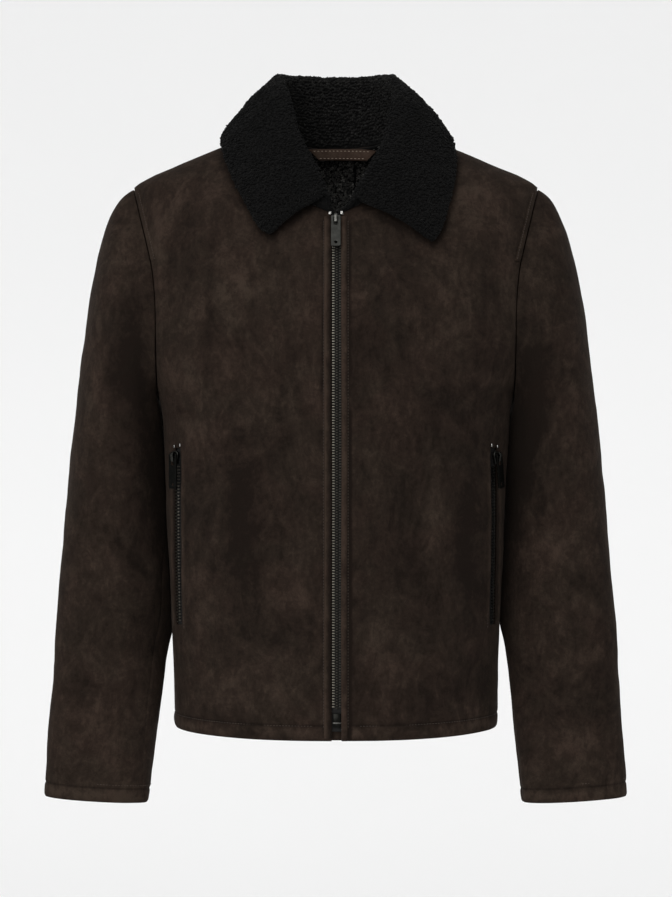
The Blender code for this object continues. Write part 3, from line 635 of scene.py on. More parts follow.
def under_collar(plane, sign):
    """How much darker the front is in the shade right beside the collar's edge."""
    table = COLLAR_LEFT if sign > 0 else COLLAR_RIGHT
    line = [edge[:2] for _, _, edge in table] + [(table[-1][1][0] - 6.0, table[-1][1][2])]
    gap = line_distance(plane, np.array(line) * [sign, 1])[0]
    return 1.6 * bell(gap, 5.0)


def hem_shading(above, points):
    """A hem's painted shade along the stitched line, with painted highlights on the puffs of cloth under it."""
    puffs = lumps(points, 17.0, 1.0, 8.0) + lumps(points, 46.0, 0.9, 2.0)
    return 1.1 * bell(above - HEM_PUFFS, 5.0) * (0.8 + puffs) - bell(above - 16.4, 1.2)


def hem_swell(above, points, least, uneven, edge=1.0):
    """A hem's form: a stitched groove, a swell below it and an edge that rolls in."""
    puffs = bell(above - HEM_PUFFS, 6.0) * (least + lumps(points, 14.0, uneven, 5.0))
    return edge_dip(above - HEM_STITCHES, 0.8, 1.6) + edge_dip(above, edge, 1.2) + puffs


def patches(plane, table):
    tone = np.zeros(plane.shape[:-1])
    for x, z, wide, high, lean, strength in table:
        c, s = math.cos(math.radians(lean)), math.sin(math.radians(lean))
        dx, dz = plane[..., 0] - x, plane[..., 1] - z
        u, v = (c * dx + s * dz) / wide, (-s * dx + c * dz) / high
        tone += strength * np.exp(-((u**2 + v**2) ** 1.5))
    return tone


TO_FRONT = np.array([0.0, -1.0, 0.0])


def panel(name, points, height, material, thickness, outward=TO_FRONT, hole=None, tone_and_shading=0.0):
    """A panel of cloth on a grid of points, moved by its creases' height along its own normals."""
    normal = grid_normals(points)
    flip = (normal * outward).sum() < 0
    points = points + np.asarray(height)[..., None] * (-normal if flip else normal)
    faces = quad_faces(*points.shape[:2])
    if hole is not None:
        faces = faces[~hole.reshape(-1)]
    if flip:
        faces = faces[:, ::-1]
    return make_sheet(name, points, faces, material, thickness, tone_and_shading + np.zeros(points.shape[:2]))


def arc_row(point_at, first, last, arcs, fixed=()):
    """Points along a row at shares of its length, and how far each is from the row's start and end, in mm.

    fixed pairs a share with the parameter that it must land on, so that a line can follow a pocket."""
    dense = np.linspace(first, last, 260)
    line = point_at(dense)
    length = run_along(line)
    keys, goals = [0.0], [0.0]
    for share, parameter in fixed:
        keys.append(share)
        goals.append(np.interp(parameter, dense, length))
    keys.append(1.0)
    goals.append(length[-1])
    want = np.interp(arcs, keys, goals)
    return point_at(np.interp(want, length, dense)), want, length[-1] - want


def grid_of(rows):
    """The rows' points, and how far each is from its row's start and end."""
    return [np.array(part) for part in zip(*rows)]


POCKET_TOP, POCKET_BOTTOM, POCKET_X, SLIT_HALF = -352.0, -545.0, 171.0, 3.4
SLIT_SHARES = 0.60, 0.64  # where a pocket's slit lies across a front, as shares of its width


def pocket_x(z):
    down = np.clip((z - POCKET_TOP) / (POCKET_BOTTOM - POCKET_TOP), 0.0, 1.0)
    return POCKET_X + np.sin(math.pi * down)


def outer_angle(z):
    return float(angle_at(z, smooth(ARMHOLE, z, 1))) if SHOULDER_POINT > z > UNDERARM else math.pi / 2


def neck_angle(table, z):
    return 0.0 if z <= table[-1][0] else float(angle_at(z, smooth(table, z, 1)))


def levels(extra=()):
    at = HEM + (-2.0 - HEM) * edge_spaced(-2.0 - HEM, 4.4, HEM_EDGE, (0.0, 2.0, 4.0, 7.0, 10.0, 14.0))
    keep = [z for z in at if all(abs(z - e) > 1.2 for e in extra)]
    return np.array(sorted(keep + list(extra)))


# The stitched groove beside each edge strip, and how much painted shade darkens it
GROOVE_X = 13.3
STRIP_TOP = -104.0
GROOVE_SHADE = {1: 4.0, -1: 1.6}


def make_front(side, sign):
    rows = levels((POCKET_TOP, POCKET_BOTTOM, POCKET_TOP + 1.5, POCKET_BOTTOM - 1.5))
    shares = SLIT_SHARES
    columns = np.concatenate([
        shares[0] * edge_spaced(165.0, 4.4, SEAM_EDGE, LIP_EDGE),
        [sum(shares) / 2],
        shares[1] + (1 - shares[1]) * edge_spaced(85.0, 4.4, LIP_EDGE, SEAM_EDGE),
    ])
    made = []
    for z in rows:
        first = max(neck_angle(FRONT_NECK, z), float(angle_at(z, ZIP_GAPS[sign])))
        level = min(max(z, POCKET_BOTTOM), POCKET_TOP)
        if z <= POCKET_TOP + 40.0:
            middle = float(pocket_x(level))
            fixed = [(s, float(angle_at(level, middle + d))) for s, d in zip(shares, (-SLIT_HALF, SLIT_HALF))]
        else:
            fixed = []
        made.append(arc_row(lambda a: body(a, z), first, outer_angle(z), columns, fixed))
    points, ahead, behind = grid_of(made)
    points[..., 0] *= sign
    plane = points[..., [0, 2]]
    above_hem = rows[:, None] - HEM + 0 * ahead
    height = creases(plane, FRONT_CREASES) + lumps(points, 95.0, 1.3, 3.0) + lumps(points, 34.0, 0.45, 9.0)
    height *= fade(ahead, 22.0, 0.15) * fade(behind, 16.0, 0.1)
    height += edge_dip(behind, 0.5) + edge_dip(ahead, 0.6, 1.2) + hem_swell(above_hem, points, 0.7, 0.8)
    x, z = np.abs(points[..., 0]), points[..., 2]
    off = np.abs(x - pocket_x(z)) - SLIT_HALF
    along = fade(z - POCKET_BOTTOM, 12.0) * fade(POCKET_TOP - z, 12.0)
    height += along * (0.8 * bell(off - 3.4, 2.2) - 0.9 * bell(off, 1.3))
    groove = bell(x - GROOVE_X - 0.3 * np.sin(z / 26.0), 1.1) * fade(STRIP_TOP - z, 6.0)
    height -= 0.8 * groove
    inside = (columns[:-1] >= shares[0] - 1e-6) & (columns[1:] <= shares[1] + 1e-6)
    open_rows = (rows[:-1] >= POCKET_BOTTOM - 1e-6) & (rows[1:] <= POCKET_TOP + 1e-6)
    # the tone paints shade in the creases' troughs and highlights on their ridges
    obj = panel(
        f"front_{side}_suede", points, height, SUEDE_LOOK, SUEDE,
        hole=open_rows[:, None] & inside[None, :],
        tone_and_shading=patches(plane, FRONT_NAP) + 0.5 * creases(plane, FRONT_CREASES) - GROOVE_SHADE[sign] * groove
        + hem_shading(above_hem, points) + along * lip_shading(off) - under_collar(plane, sign),
    )
    declare(obj, "suede", f"front_{side}", flat=(0.30, 0.70), area=0.165, **WORN)


def make_back():
    rows = levels()
    columns = edge_spaced(255.0, 4.8, (), SEAM_EDGE)
    points, faces, shadings, start = [], [], [], 0
    for sign in (1, -1):
        made = [
            arc_row(lambda a: body(a, z, False), neck_angle(BACK_NECK, z), outer_angle(z), columns) for z in rows
        ]
        half, _, behind = grid_of(made)
        half[..., 0] *= sign
        plane = half[..., [0, 2]]
        above_hem = rows[:, None] - HEM + 0 * behind
        height = creases(plane, BACK_CREASES) + lumps(half, 95.0, 1.6, 3.0) + lumps(half, 34.0, 0.45, 9.0)
        height *= fade(behind, 16.0, 0.1)
        # the facing behind the neck keeps the back from sinking in
        backed = fade(half[..., 2] + 165.0, 20.0) * fade(95.0 - np.abs(half[..., 0]), 20.0)
        height = np.maximum(height, -0.5 - 5.0 * (1.0 - backed))
        height += edge_dip(behind, 0.9) + hem_swell(above_hem, half, 0.7, 0.8)
        normal = grid_normals(half)
        if (normal[..., 1]).sum() < 0:
            normal = -normal
        shared = rows < BACK_NECK[-1][0]
        middle = 0.5 * (normal[:, 0] * np.array([-1.0, 1.0, 1.0]) + normal[:, 0])
        normal[shared, 0] = middle[shared] / np.linalg.norm(middle[shared], axis=-1, keepdims=True)
        points.append((half + height[..., None] * normal).reshape(-1, 3))
        quads = quad_faces(*half.shape[:2], start)
        faces.append(quads[:, ::-1] if sign > 0 else quads)
        # painted shade in the creases' troughs and painted highlights on their ridges
        shadings.append((0.5 * creases(plane, BACK_CREASES)).ravel())
        start += half.shape[0] * half.shape[1]
    points, faces, shadings = (np.concatenate(parts) for parts in (points, faces, shadings))
    obj = make_sheet("back_suede", points, faces, SUEDE_LOOK, SUEDE, shadings, weld=True)
    declare(obj, "suede", "back", flat=(0.56, 0.68), area=0.345, **WORN)


# Each sleeve piece's cut, in metres and square metres
SLEEVE_CUTS = {
    ("upper", "left"): (0.36, 0.66, 0.19),
    ("upper", "right"): (0.36, 0.66, 0.18),
    ("under", "left"): (0.09, 0.50, 0.026),
    ("under", "right"): (0.14, 0.50, 0.040),
}
SLEEVE_LENGTH = 655.0
CUFF_STITCHES = 15.42  # where the cuff's stitches lie, as a ring number
SLEEVE_GIRTH_RADIUS = 62.0  # turns angles round a sleeve into millimetres
INSIDE_FRONT, INSIDE_HIND = 4, 8  # how sharply the drawn-back inside gives way before and behind it
SLEEVE_TABLE = tuple((float(i), *ring) for i, ring in enumerate(SLEEVE_RINGS))


def armhole_point(angle):
    z = 0.5 * (SHOULDER_POINT + UNDERARM) + 0.5 * (SHOULDER_POINT - UNDERARM) * np.cos(angle)
    x = smooth(ARMHOLE, z, 1)
    at = angle_at(z, x)
    y = np.where(np.sin(angle) >= 0, body(at, z, True)[..., 1], body(at, z, False)[..., 1])
    return np.stack([x, y, z], -1)


def signed_power(value, power):
    return np.sign(value) * np.abs(value) ** power


def off_body(points):
    """How far points are from the body's side, sideways, and the side's own distance from the middle."""
    x, y, z = np.moveaxis(points, -1, 0)
    half, ahead, behind = (smooth(BODY_SECTIONS, z, column) for column in (1, 2, 3))
    share = np.minimum(1.0, np.abs(y) / np.where(y < 0, ahead, behind)) ** SECTION_POWER
    side = np.where(z > UNDERARM, 0.0, half * (1.0 - share) ** (1 / SECTION_POWER))
    return np.abs(x) - side, side


def sleeve_point(ring, angle, clear):
    outer_x, outer_z, inner_x, inner_z, half_depth, middle_y, keep, back = (
        float(smooth(SLEEVE_TABLE, ring, c)) for c in range(1, 9)
    )
    inner_x += clear * (1.0 - keep) * fade(inner_z - HEM, 120.0)
    cosine, sine = np.cos(angle), np.sin(angle)
    across = 0.5 * signed_power(cosine, 2 / SLEEVE_POWER)
    drawn_back = back * (0.5 - 0.5 * cosine) ** np.where(sine > 0, INSIDE_FRONT, INSIDE_HIND)
    free = np.stack([
        0.5 * (outer_x + inner_x) + across * (outer_x - inner_x),
        middle_y - half_depth * signed_power(sine, 2 / SLEEVE_POWER) + drawn_back,
        0.5 * (outer_z + inner_z) + across * (outer_z - inner_z),
    ], -1)
    hole = armhole_point(angle)
    hole[..., 0] += (outer_x - ARMHOLE[0][1]) * np.cos(0.5 * angle) ** 2 + 0.2
    hole[..., 2] += 0.5 * (outer_z + inner_z) - 0.5 * (SHOULDER_POINT + UNDERARM)
    points = free + keep * (hole - free)
    points[..., 0] = np.maximum(points[..., 0], off_body(points)[1] + BODY_CLEAR)
    return points


def make_sleeve(side, sign, seams, clear, table, part):
    length = SLEEVE_LENGTH
    down = edge_spaced(length, 4.6, SEAM_EDGE, HEM_EDGE)
    steps = np.linspace(0, len(SLEEVE_RINGS) - 1, 200)
    run = run_along(np.array([sleeve_point(t, np.array([0.0, math.pi / 2]), clear).mean(0) for t in steps]))
    rings = np.interp(down * run[-1], run, steps)
    around = edge_spaced(300.0 if part == "upper" else 90.0, 4.6, SEAM_EDGE, SEAM_EDGE)
    made, angles = [], []
    for ring in rings:
        front, hind = (math.radians(float(smooth(seams, ring, c))) for c in (1, 2))
        first, last = (front, hind) if part == "under" else (hind - 2 * math.pi, front)
        made.append(arc_row(lambda a: sleeve_point(ring, a, clear), first, last, around))
        angles.append(np.degrees(first + around * (last - first)))
    points, ahead, behind = grid_of(made)
    share = np.repeat(down[:, None], len(around), 1)
    # the creases are laid out on the opened sleeve: down it and round it, in millimetres
    degree = math.radians(SLEEVE_GIRTH_RADIUS)
    plane = np.stack([np.array(angles) * degree, share * length], -1)
    lines = []
    for s1, a1, s2, a2, *size in table:
        x1, x2 = a1 * degree, a2 * degree
        lines.append((x1, s1 * length, (x1 + x2) / 2, (s1 + s2) / 2 * length + 4.0, x2, s2 * length, *size))
    creased = creases(plane, lines) + creases(plane + np.array([360.0 * degree, 0.0]), lines)
    points[..., 0] *= sign
    calm = fade(ahead, 12.0, 0.1) * fade(behind, 12.0, 0.1) * fade(share * length, 22.0, 0.15)
    calm = calm * fade(off_body(points)[0] - BODY_CLEAR, 9.0, 0.05)
    height = calm * (creased + lumps(points, 80.0, 1.5, 17.0) + lumps(points, 30.0, 0.5, 4.0))
    height += edge_dip(ahead, 0.6) + edge_dip(behind, 0.6) + edge_dip(share * length, 0.5, 2.2)
    above = (1 - share) * length
    height += hem_swell(above, points, 0.4, 0.6, 0.9)
    middle = points.mean(1, keepdims=True) + np.array([0.0 if part == "upper" else sign * 40.0, 0.0, 0.0])
    # the tone paints shade in the creases' troughs and highlights on their ridges
    obj = panel(
        f"{part}_sleeve_{side}_suede", points, height, SUEDE_LOOK, SUEDE, points - middle,
        tone_and_shading=0.5 * creased + patches(plane, SLEEVE_NAP_AND_SHADE[side]) + hem_shading(above, points),
    )
    *flat, area = SLEEVE_CUTS[(part, side)]
    declare(obj, "suede", f"{part}_sleeve_{side}", flat=tuple(flat), area=area, **WORN)


STRAP_STITCHES = 5.9  # a strap's stitches from the armhole seam


def make_straps(side, sign):
    for place, front in (("", True), ("_back", False)):
        z = np.linspace(-150.0, -69.0, 40)[:, None]
        inset = np.array([0.8, 1.0, 1.6, 2.8, 4.0, 5.2, 6.4, 7.0, 7.2])[None, :]
        rise = 0.45 + 1.25 * np.clip(1 - (np.abs(inset - 4.0) / 3.3) ** 4, 0, 1) * fade(z + 150.5, 3.0, 0.1)
        rise = rise - 0.45 * bell(inset - STRAP_STITCHES, 0.6)
        points = on_body(smooth(ARMHOLE, z, 1) - inset, z + 0 * inset, rise, front)
        points[..., 0] *= sign
        node = f"armhole_strap{place}_{side}"
        away = TO_FRONT if front else -TO_FRONT
        obj = panel(f"{node}_suede", points, 0 * rise, SUEDE_LOOK, 1.0, away, tone_and_shading=0.35)
        under = f"front_{side}_suede" if front else "back_suede"
        declare(obj, "suede", node, flat=(0.0125, 0.115), area=0.0009, held="laid", rests_on=[under])


# The edge strips' painted light and shade beside the zip, and how much it changes outwards
EDGE_STRIP_SHADING = {1: (1.6, -1.4), -1: (-2.4, 4.6)}


def make_edge_strip(side, sign):
    z = np.linspace(-661.0, STRIP_TOP, 150)[:, None]
    across = np.array([0.0, 0.02, 0.08, 0.2, 0.35, 0.5, 0.65, 0.8, 0.92, 0.98, 1.0])[None, :]
    x = ZIP_GAPS[sign] - 0.3 + across * (12.7 - ZIP_GAPS[sign])
    round_it = np.clip(1 - np.abs(2 * across - 1) ** 3.2, 0, 1)
    swell = 0.14 * np.sin(z / 21.0 + 2.0 * sign) + 0.12 * np.sin(z / 7.3)
    out = 0.3 + (1.5 + swell) * round_it
    points = on_body(x + 0.25 * np.sin(z / 60.0 + sign), z + 0 * x, out)
    points[..., 0] *= sign
    # painted light and shade across the strip, for its rolled edges
    tone, change = EDGE_STRIP_SHADING[sign]
    obj = panel(f"edge_strip_{side}_suede", points, 0 * out, SUEDE_LOOK, 1.0, tone_and_shading=tone + change * across)
    cut = {"flat": (0.0125, 0.565), "area": 0.0052}
    declare(obj, "suede", f"edge_strip_{side}", held="laid", rests_on=[f"front_{side}_suede"], **cut)


def body_strip(name, half, top, bottom, out, thickness, material, slot, node, flat):
    z = np.linspace(bottom, top, 140)[:, None]
    x = np.linspace(-half, half, 9)[None, :]
    points = on_body(x, z, out + 0 * x * z)
    obj = panel(name, points, 0 * points[..., 0], material, thickness)
    declare(obj, slot, node, flat=flat, held="laid", rests_on=["front_left_suede", "front_right_suede"])


def make_pocket_tape(side, sign):
    z = np.linspace(POCKET_BOTTOM - 4.0, POCKET_TOP + 4.0, 60)
    points = []
    for level in z:
        middle = float(angle_at(level, pocket_x(level)))
        step = body(middle + 0.01, level) - body(middle - 0.01, level)
        turn = np.linspace(-9.0, 9.0, 9) * 0.02 / np.linalg.norm(step)
        points.append(body(middle + turn, level) - 3.0 * body_normal(middle + turn, level))
    points = np.array(points)
    points[..., 0] *= sign
    away = np.array([sign * 0.7, -0.7, 0.0])
    node = f"pocket_{side}_zip_tape"
    obj = panel(f"{node}_cloth", points, 0 * points[..., 0], TAPE_LOOK, 0.8, away)
    declare(obj, "zip_tape", node, flat=(0.018, 0.205), held="laid", rests_on=[f"front_{side}_suede"])


def neck_point(level, front):
    x = float(smooth(FRONT_NECK if front else BACK_NECK, level, 1))
    return body(float(angle_at(level, x)) if x else 0.0, level, front)


def collar_row(neck, fold, edge):
    neck = neck + np.array([0.0, 0.0, COLLAR_RAISE])
    outward = np.array([edge[0] - fold[0], edge[1] - fold[1], 0.0])
    outward /= np.linalg.norm(outward)
    inner = fold - FOLD_HALF * outward - np.array([0.0, 0.0, 5.0])
    outer = fold + FOLD_HALF * outward - np.array([0.0, 0.0, 4.0])
    fall = edge - outer
    bulge = 2.5 * outward + np.array([0.0, 0.0, 2.5])
    return [
        neck, 0.5 * (neck + inner) + 1.5 * outward, inner, fold, outer,
        outer + fall / 3 + bulge, outer + 2 * fall / 3 + bulge, edge,
    ]


def collar_rows():
    rows = []
    for sign, fronts in ((-1, COLLAR_RIGHT), (1, COLLAR_LEFT)):
        made = []
        for level, fold, edge in COLLAR_BACK:
            made.append(collar_row(neck_point(level, False), np.array(fold), np.array(edge)))
        for level, fold, (x, z, lift) in fronts:
            angle = float(angle_at(z, x))
            lean = max(abs(float(body_normal(angle, z)[1])), 0.25)
            edge = np.array([x, body(angle, z)[1] - lift / lean, z])
            made.append(collar_row(neck_point(level, True), np.array(fold), edge))
        made = np.array(made)
        made[..., 0] *= sign
        rows = [made[:0:-1]] if sign < 0 else rows + [made]
    return np.concatenate(rows)


def rounded(points, counts):
    """A grid drawn smooth through rows and columns of points, evenly spaced along each."""
    for axis, count in ((0, counts[0]), (1, counts[1])):
        moved = np.moveaxis(points, axis, 0)
        keys = np.concatenate([[0.0], np.cumsum(np.linalg.norm(np.diff(moved, axis=0), axis=-1).mean(1))])
        at = np.linspace(0.0, keys[-1], count)
        i = np.clip(np.searchsorted(keys, at, side="right") - 1, 0, len(keys) - 2)
        slope = np.empty_like(moved)
        slope[1:-1] = (moved[2:] - moved[:-2]) / (keys[2:] - keys[:-2])[:, None, None]
        slope[0] = (moved[1] - moved[0]) / (keys[1] - keys[0])
        slope[-1] = (moved[-1] - moved[-2]) / (keys[-1] - keys[-2])
        span = (keys[i + 1] - keys[i])[:, None, None]
        t = ((at - keys[i]) / (keys[i + 1] - keys[i]))[:, None, None]
        points = np.moveaxis(between(moved, slope, i, span, t), 0, axis)
    return points


def at_shares(grid, u, v):
    """The grid read between its points, at shares of its rows and columns."""
    r, c = u * (grid.shape[0] - 1), v * (grid.shape[1] - 1)
    i = np.clip(r.astype(int), 0, grid.shape[0] - 2)
    j = np.clip(c.astype(int), 0, grid.shape[1] - 2)
    fr, fc = (r - i)[..., None], (c - j)[..., None]
    return (
        (1 - fr) * (1 - fc) * grid[i, j] + fr * (1 - fc) * grid[i + 1, j]
        + (1 - fr) * fc * grid[i, j + 1] + fr * fc * grid[i + 1, j + 1]
    )


CURL_SEED = 7  # for the curls' sizes and turns


def nub_pieces(names, grid, normal, pitch, lift, keep, tone):
    """Curls of pile over a grid as squashed nubs, each turned and sized on its own.

    With two names, the first has the curls on the wearer's right and the second the rest."""
    random = np.random.default_rng(CURL_SEED)
    long, wide = (np.linalg.norm(np.diff(grid, axis=a), axis=-1).sum(a).mean() for a in (0, 1))
    rows, columns = int(long / pitch), int(wide / (0.88 * pitch))
    u, v = np.meshgrid(np.arange(rows) + 0.5, np.arange(columns) + 0.5, indexing="ij")
    u = (u + 0.5 * (v.astype(int) % 2) + random.uniform(-0.34, 0.34, u.shape)) / (rows + 0.5)
    v = (v + random.uniform(-0.34, 0.34, v.shape)) / columns
    u, v = np.clip(u.ravel(), 0, 1), np.clip(v.ravel(), 0, 1)
    stays = keep(u, v)
    u, v = u[stays], v[stays]
    places, normals = at_shares(grid, u, v), at_shares(normal, u, v)
    normals /= np.linalg.norm(normals, axis=-1, keepdims=True)
    shape = shape_mesh(lambda work: bmesh.ops.create_icosphere(work, subdivisions=1, radius=1.0))
    groups, shadings = [[], []], [[], []]
    for place, out, tone_and_shading in zip(places, normals, tone(v, places)):
        lean = out + random.normal(0, 0.35, 3)
        lean /= np.linalg.norm(lean)
        first = np.cross(lean, random.normal(0, 1, 3))
        first /= np.linalg.norm(first)
        size = pitch * random.uniform(0.52, 0.86)
        size = size * np.array([random.uniform(0.8, 1.15), random.uniform(0.6, 0.95), 0.62])
        axes = np.stack([first, np.cross(lean, first), lean], 1) * size
        height = lift + random.uniform(-0.35, 0.55)
        group = int(len(names) > 1 and place[0] > 0)
        groups[group].append((axes, place + height * out))
        shadings[group].append(tone_and_shading)
    return [repeat_shape(n, shape, g, FLEECE_LOOK, "fleece", tone_and_shading=t) for n, g, t in zip(names, groups, shadings)]


COLLAR_SIZE = (560.0, 178.0)
CORNER = 13.0


def make_collar():
    rows, columns = ((260, 84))
    middle = rounded(collar_rows(), (rows, columns))
    u, v = np.meshgrid(np.linspace(0, 1, rows), np.linspace(0, 1, columns), indexing="ij")
    # the two outer corners are rounded off
    end = np.minimum(u, 1 - u) * COLLAR_SIZE[0]
    edge = (1 - v) * COLLAR_SIZE[1]
    into = np.stack([CORNER - end, CORNER - edge], -1)
    far = np.linalg.norm(into, axis=-1)
    corner = (into > 0).all(-1) & (far > CORNER)
    square = CORNER / np.maximum(into.max(-1), 1e-6)
    pull = np.where(corner, np.maximum(into.max(-1), 1e-6) / np.maximum(far, 1e-6), 1.0)
    end = np.where(corner, CORNER - into[..., 0] * pull, end)
    edge = np.where(corner, CORNER - into[..., 1] * pull, edge)
    u = np.where(u < 0.5, end, COLLAR_SIZE[0] - end) / COLLAR_SIZE[0]
    v = 1 - edge / COLLAR_SIZE[1]
    middle = at_shares(middle, u, v)
    normal = grid_normals(middle)
    # the fleece side is outside the fall, so it faces away from the stand at the outer edge
    if normal[rows // 2, -10, 1] < 0:
        normal = -normal
    rim = np.minimum(end, edge)
    roll = 1 - np.exp(-rim / 2.5)
    out = 1.2 * roll + lumps(middle, 26.0, 1.3, 2.0) * roll
    points = middle + out[..., None] * normal
    obj = make_sheet("collar_fleece", points, oriented(points, normal), FLEECE_LOOK, 3.0)
    # the curls' tone: painted light on the stand's inside, more of it deeper in the neck, and a little painted
    # shade on the fall
    nubs = nub_pieces(
        ("collar_curls_right", "collar_curls_left"), points, normal, 2.9, 0.5, lambda a, b: b > 0.012,
        lambda b, at: np.where(b < 0.48, 3.4 * np.clip((at[:, 1] + 25.0) / 45.0, 0, 1), -0.12),
    )
    under = ["front_left_suede", "front_right_suede", "back_suede"]
    declare(obj, "fleece", "collar", flat=(0.56, 0.20), held="folded", rests_on=under, with_pieces=nubs)


def oriented(points, normal):
    faces = quad_faces(*points.shape[:2])
    a, b, c = points[1, 1], points[1, 2], points[2, 1]
    turned = (np.cross(b - a, c - a) * normal[1, 1]).sum() < 0
    return faces[:, ::-1] if turned else faces


FACING_HALF, FACING_BOTTOM, FACING_IN = 70.0, -140.0, 5.5
FACING_OVER = 2.5  # its top above the neck seam
FACING_SEAM_X = 22.0
# how much the facing's curls are painted brighter: painted light in the hollow inside the neck
FACING_PAINTED_LIGHT = 32.0


def make_facing():
    levels_up = np.linspace(BACK_NECK[-1][0], 0.0, 33)
    x = np.linspace(-FACING_HALF, FACING_HALF, 100)
    top = np.interp(np.abs(x), smooth(BACK_NECK, levels_up, 1), levels_up) + FACING_OVER
    share = np.linspace(1.0, 0.0, 90)[:, None]
    points = on_body(x, top + (FACING_BOTTOM - top) * share, 0 * x * share - FACING_IN, False)
    height = lumps(points, 22.0, 0.6, 8.0) - bell(points[..., 0] - FACING_SEAM_X, 1.2)
    obj = panel("neck_facing_fleece", points, height, FLEECE_LOOK, 2.4)
    normal = grid_normals(points)
    normal = normal if (normal * TO_FRONT).sum() > 0 else -normal
    nubs = nub_pieces(
        ("neck_facing_curls",), points, normal, 3.0, 0.4,
        lambda a, b: np.abs((2 * b - 1) * FACING_HALF - FACING_SEAM_X) > 1.3,
        lambda b, at: FACING_PAINTED_LIGHT + 0 * b,
    )
    under = ["back_suede"]
    declare(obj, "fleece", "neck_facing", flat=(0.16, 0.16), held="laid", rests_on=under, with_pieces=nubs)


LOOP_X = 8.0  # the loop's middle, off the neck's middle as shown
LOOP_TOP, LOOP_BOTTOM = -16.4, -29.6
LOOP_TOP_HALF, LOOP_BOTTOM_HALF = 39.5, 27.0


def loop_point(x, z):
    bow = 1.0 - (x / 46.0) ** 2
    place = on_body(x, -16.8, 0.0 * x, False)
    return np.stack([place[..., 0], place[..., 1] - 12.0 - 7.0 * bow, z + 0.5 * bow], -1)


def make_loop():
    """The loop with its ends cut on the slant, and puckered between its two rows of stitches."""
    z = np.linspace(LOOP_BOTTOM, LOOP_TOP, 15)[None, :]
    half = LOOP_TOP_HALF + (LOOP_BOTTOM_HALF - LOOP_TOP_HALF) * (LOOP_TOP - z) / (LOOP_TOP - LOOP_BOTTOM)
    x, z = np.broadcast_arrays(np.linspace(-1.0, 1.0, 90)[:, None] * half, z)
    points = loop_point(x + LOOP_X, z)
    from_edge = np.minimum(np.minimum(z - LOOP_BOTTOM, LOOP_TOP - z), half - np.abs(x))
    height = 1.5 - 1.3 * np.exp(-from_edge / 0.8) - 0.5 * bell(from_edge - 2.4, 0.6)
    height += 0.25 * np.sin(x / 1.1) * bell(from_edge - 1.2, 0.9)
    obj = panel("hanger_loop_suede", points, height, LOOP_LOOK, 1.3, tone_and_shading=-0.1 - 2.2 * np.exp(-from_edge))
    under = ["neck_facing_fleece"]
    declare(obj, "suede", "hanger_loop", flat=(0.080, 0.014), area=0.00094, held="hung", rests_on=under)


def shape_mesh(build):
    work = bmesh.new()
    build(work)
    mesh = bpy.data.meshes.new("shape")
    work.to_mesh(mesh)
    work.free()
    points = np.array([v.co[:] for v in mesh.vertices])
    faces = [tuple(p.vertices) for p in mesh.polygons]
    bpy.data.meshes.remove(mesh)
    return points, faces


def block_shape(size, bevel):
    def build(work):
        bmesh.ops.create_cube(work, size=1.0)
        bmesh.ops.scale(work, vec=Vector(size), verts=work.verts)
        bmesh.ops.bevel(work, geom=work.edges[:], offset=bevel, segments=2, profile=0.5, affect="EDGES")

    return shape_mesh(build)


def hard_piece(name, mesh, slot, rides, *nodes):
    """A piece with smooth faces and crisp edges."""
    mesh.set_sharp_from_angle(angle=math.radians(50))
    obj = add_object(name, mesh)
    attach(obj, rides)
    if nodes:
        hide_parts(*nodes)
    return obj


def repeat_shape(name, shape, frames, material, slot, *nodes, tone_and_shading=None):
    """One mesh of copies of a shape. Each frame is a 3 by 3 matrix of its axes in columns, and its place."""
    points, faces = shape
    made, built = [], []
    for number, (axes, place) in enumerate(frames):
        made.append(points @ np.asarray(axes).T + place)
        built += [tuple(i + number * len(points) for i in face) for face in faces]
    tone_and_shading = tone_and_shading if tone_and_shading is None else np.repeat(tone_and_shading, len(points))
    mesh = new_mesh(name, np.concatenate(made), built, material, tone_and_shading)
    return hard_piece(name, mesh, slot, "jacket", *nodes)


def cloth_frame(x, z, out, turn=0.0, lean=0.0):
    """Axes on the cloth as columns, X across, -Y out of it and Z up it, and their place in millimetres."""
    up = on_body(x, z + 6.0, 0.0) - on_body(x, z - 6.0, 0.0)
    up = up / np.linalg.norm(up)
    outward = body_normal(angle_at(z, abs(x)), z)
    outward = np.array([math.copysign(outward[0], x) if x else 0.0, outward[1], outward[2]])
    outward -= (outward @ up) * up
    outward /= np.linalg.norm(outward)
    across = np.cross(up, outward)
    axes = Matrix(np.stack([across, -outward, up], 1).tolist())
    axes = axes @ Matrix.Rotation(math.radians(turn), 3, "Z") @ Matrix.Rotation(math.radians(lean), 3, "Y")
    return np.array(axes), on_body(x, z, out)


# Each zip's teeth: name, node, side, top, bottom, depth, pitch, turn and its columns, each with how far it is
# from the zip's middle, a tooth's width, how far it is shifted down by and its look. The paler teeth are a
# painted highlight, and the black column of the left pocket's teeth is painted shade.
CHAINS = (
    ("front_zip_teeth", "front_zip_chain", 0, -117.0, -633.0, -1.3, 2.9, 0.0, (
        (-3.7, 3.5, 0.0, LIT_TEETH_LOOK), (0.0, 2.9, 0.5, TEETH_LOOK), (3.7, 3.5, 0.0, TEETH_LOOK),
    )),
    ("pocket_right_zip_teeth", "pocket_right_zip_chain", -1, -372.0, -543.5, -0.4, 3.5, 24.0, (
        (-1.6, 3.0, 0.5, TEETH_LOOK), (1.4, 3.0, 0.0, LIT_TEETH_LOOK),
    )),
    ("pocket_left_zip_teeth", "pocket_left_zip_chain", 1, -372.0, -543.5, -0.8, 3.5, -12.0, (
        (-1.6, 3.0, 0.5, BLACK_METAL_AND_SHADE_LOOK), (1.4, 3.0, 0.0, TEETH_LOOK),
    )),
)


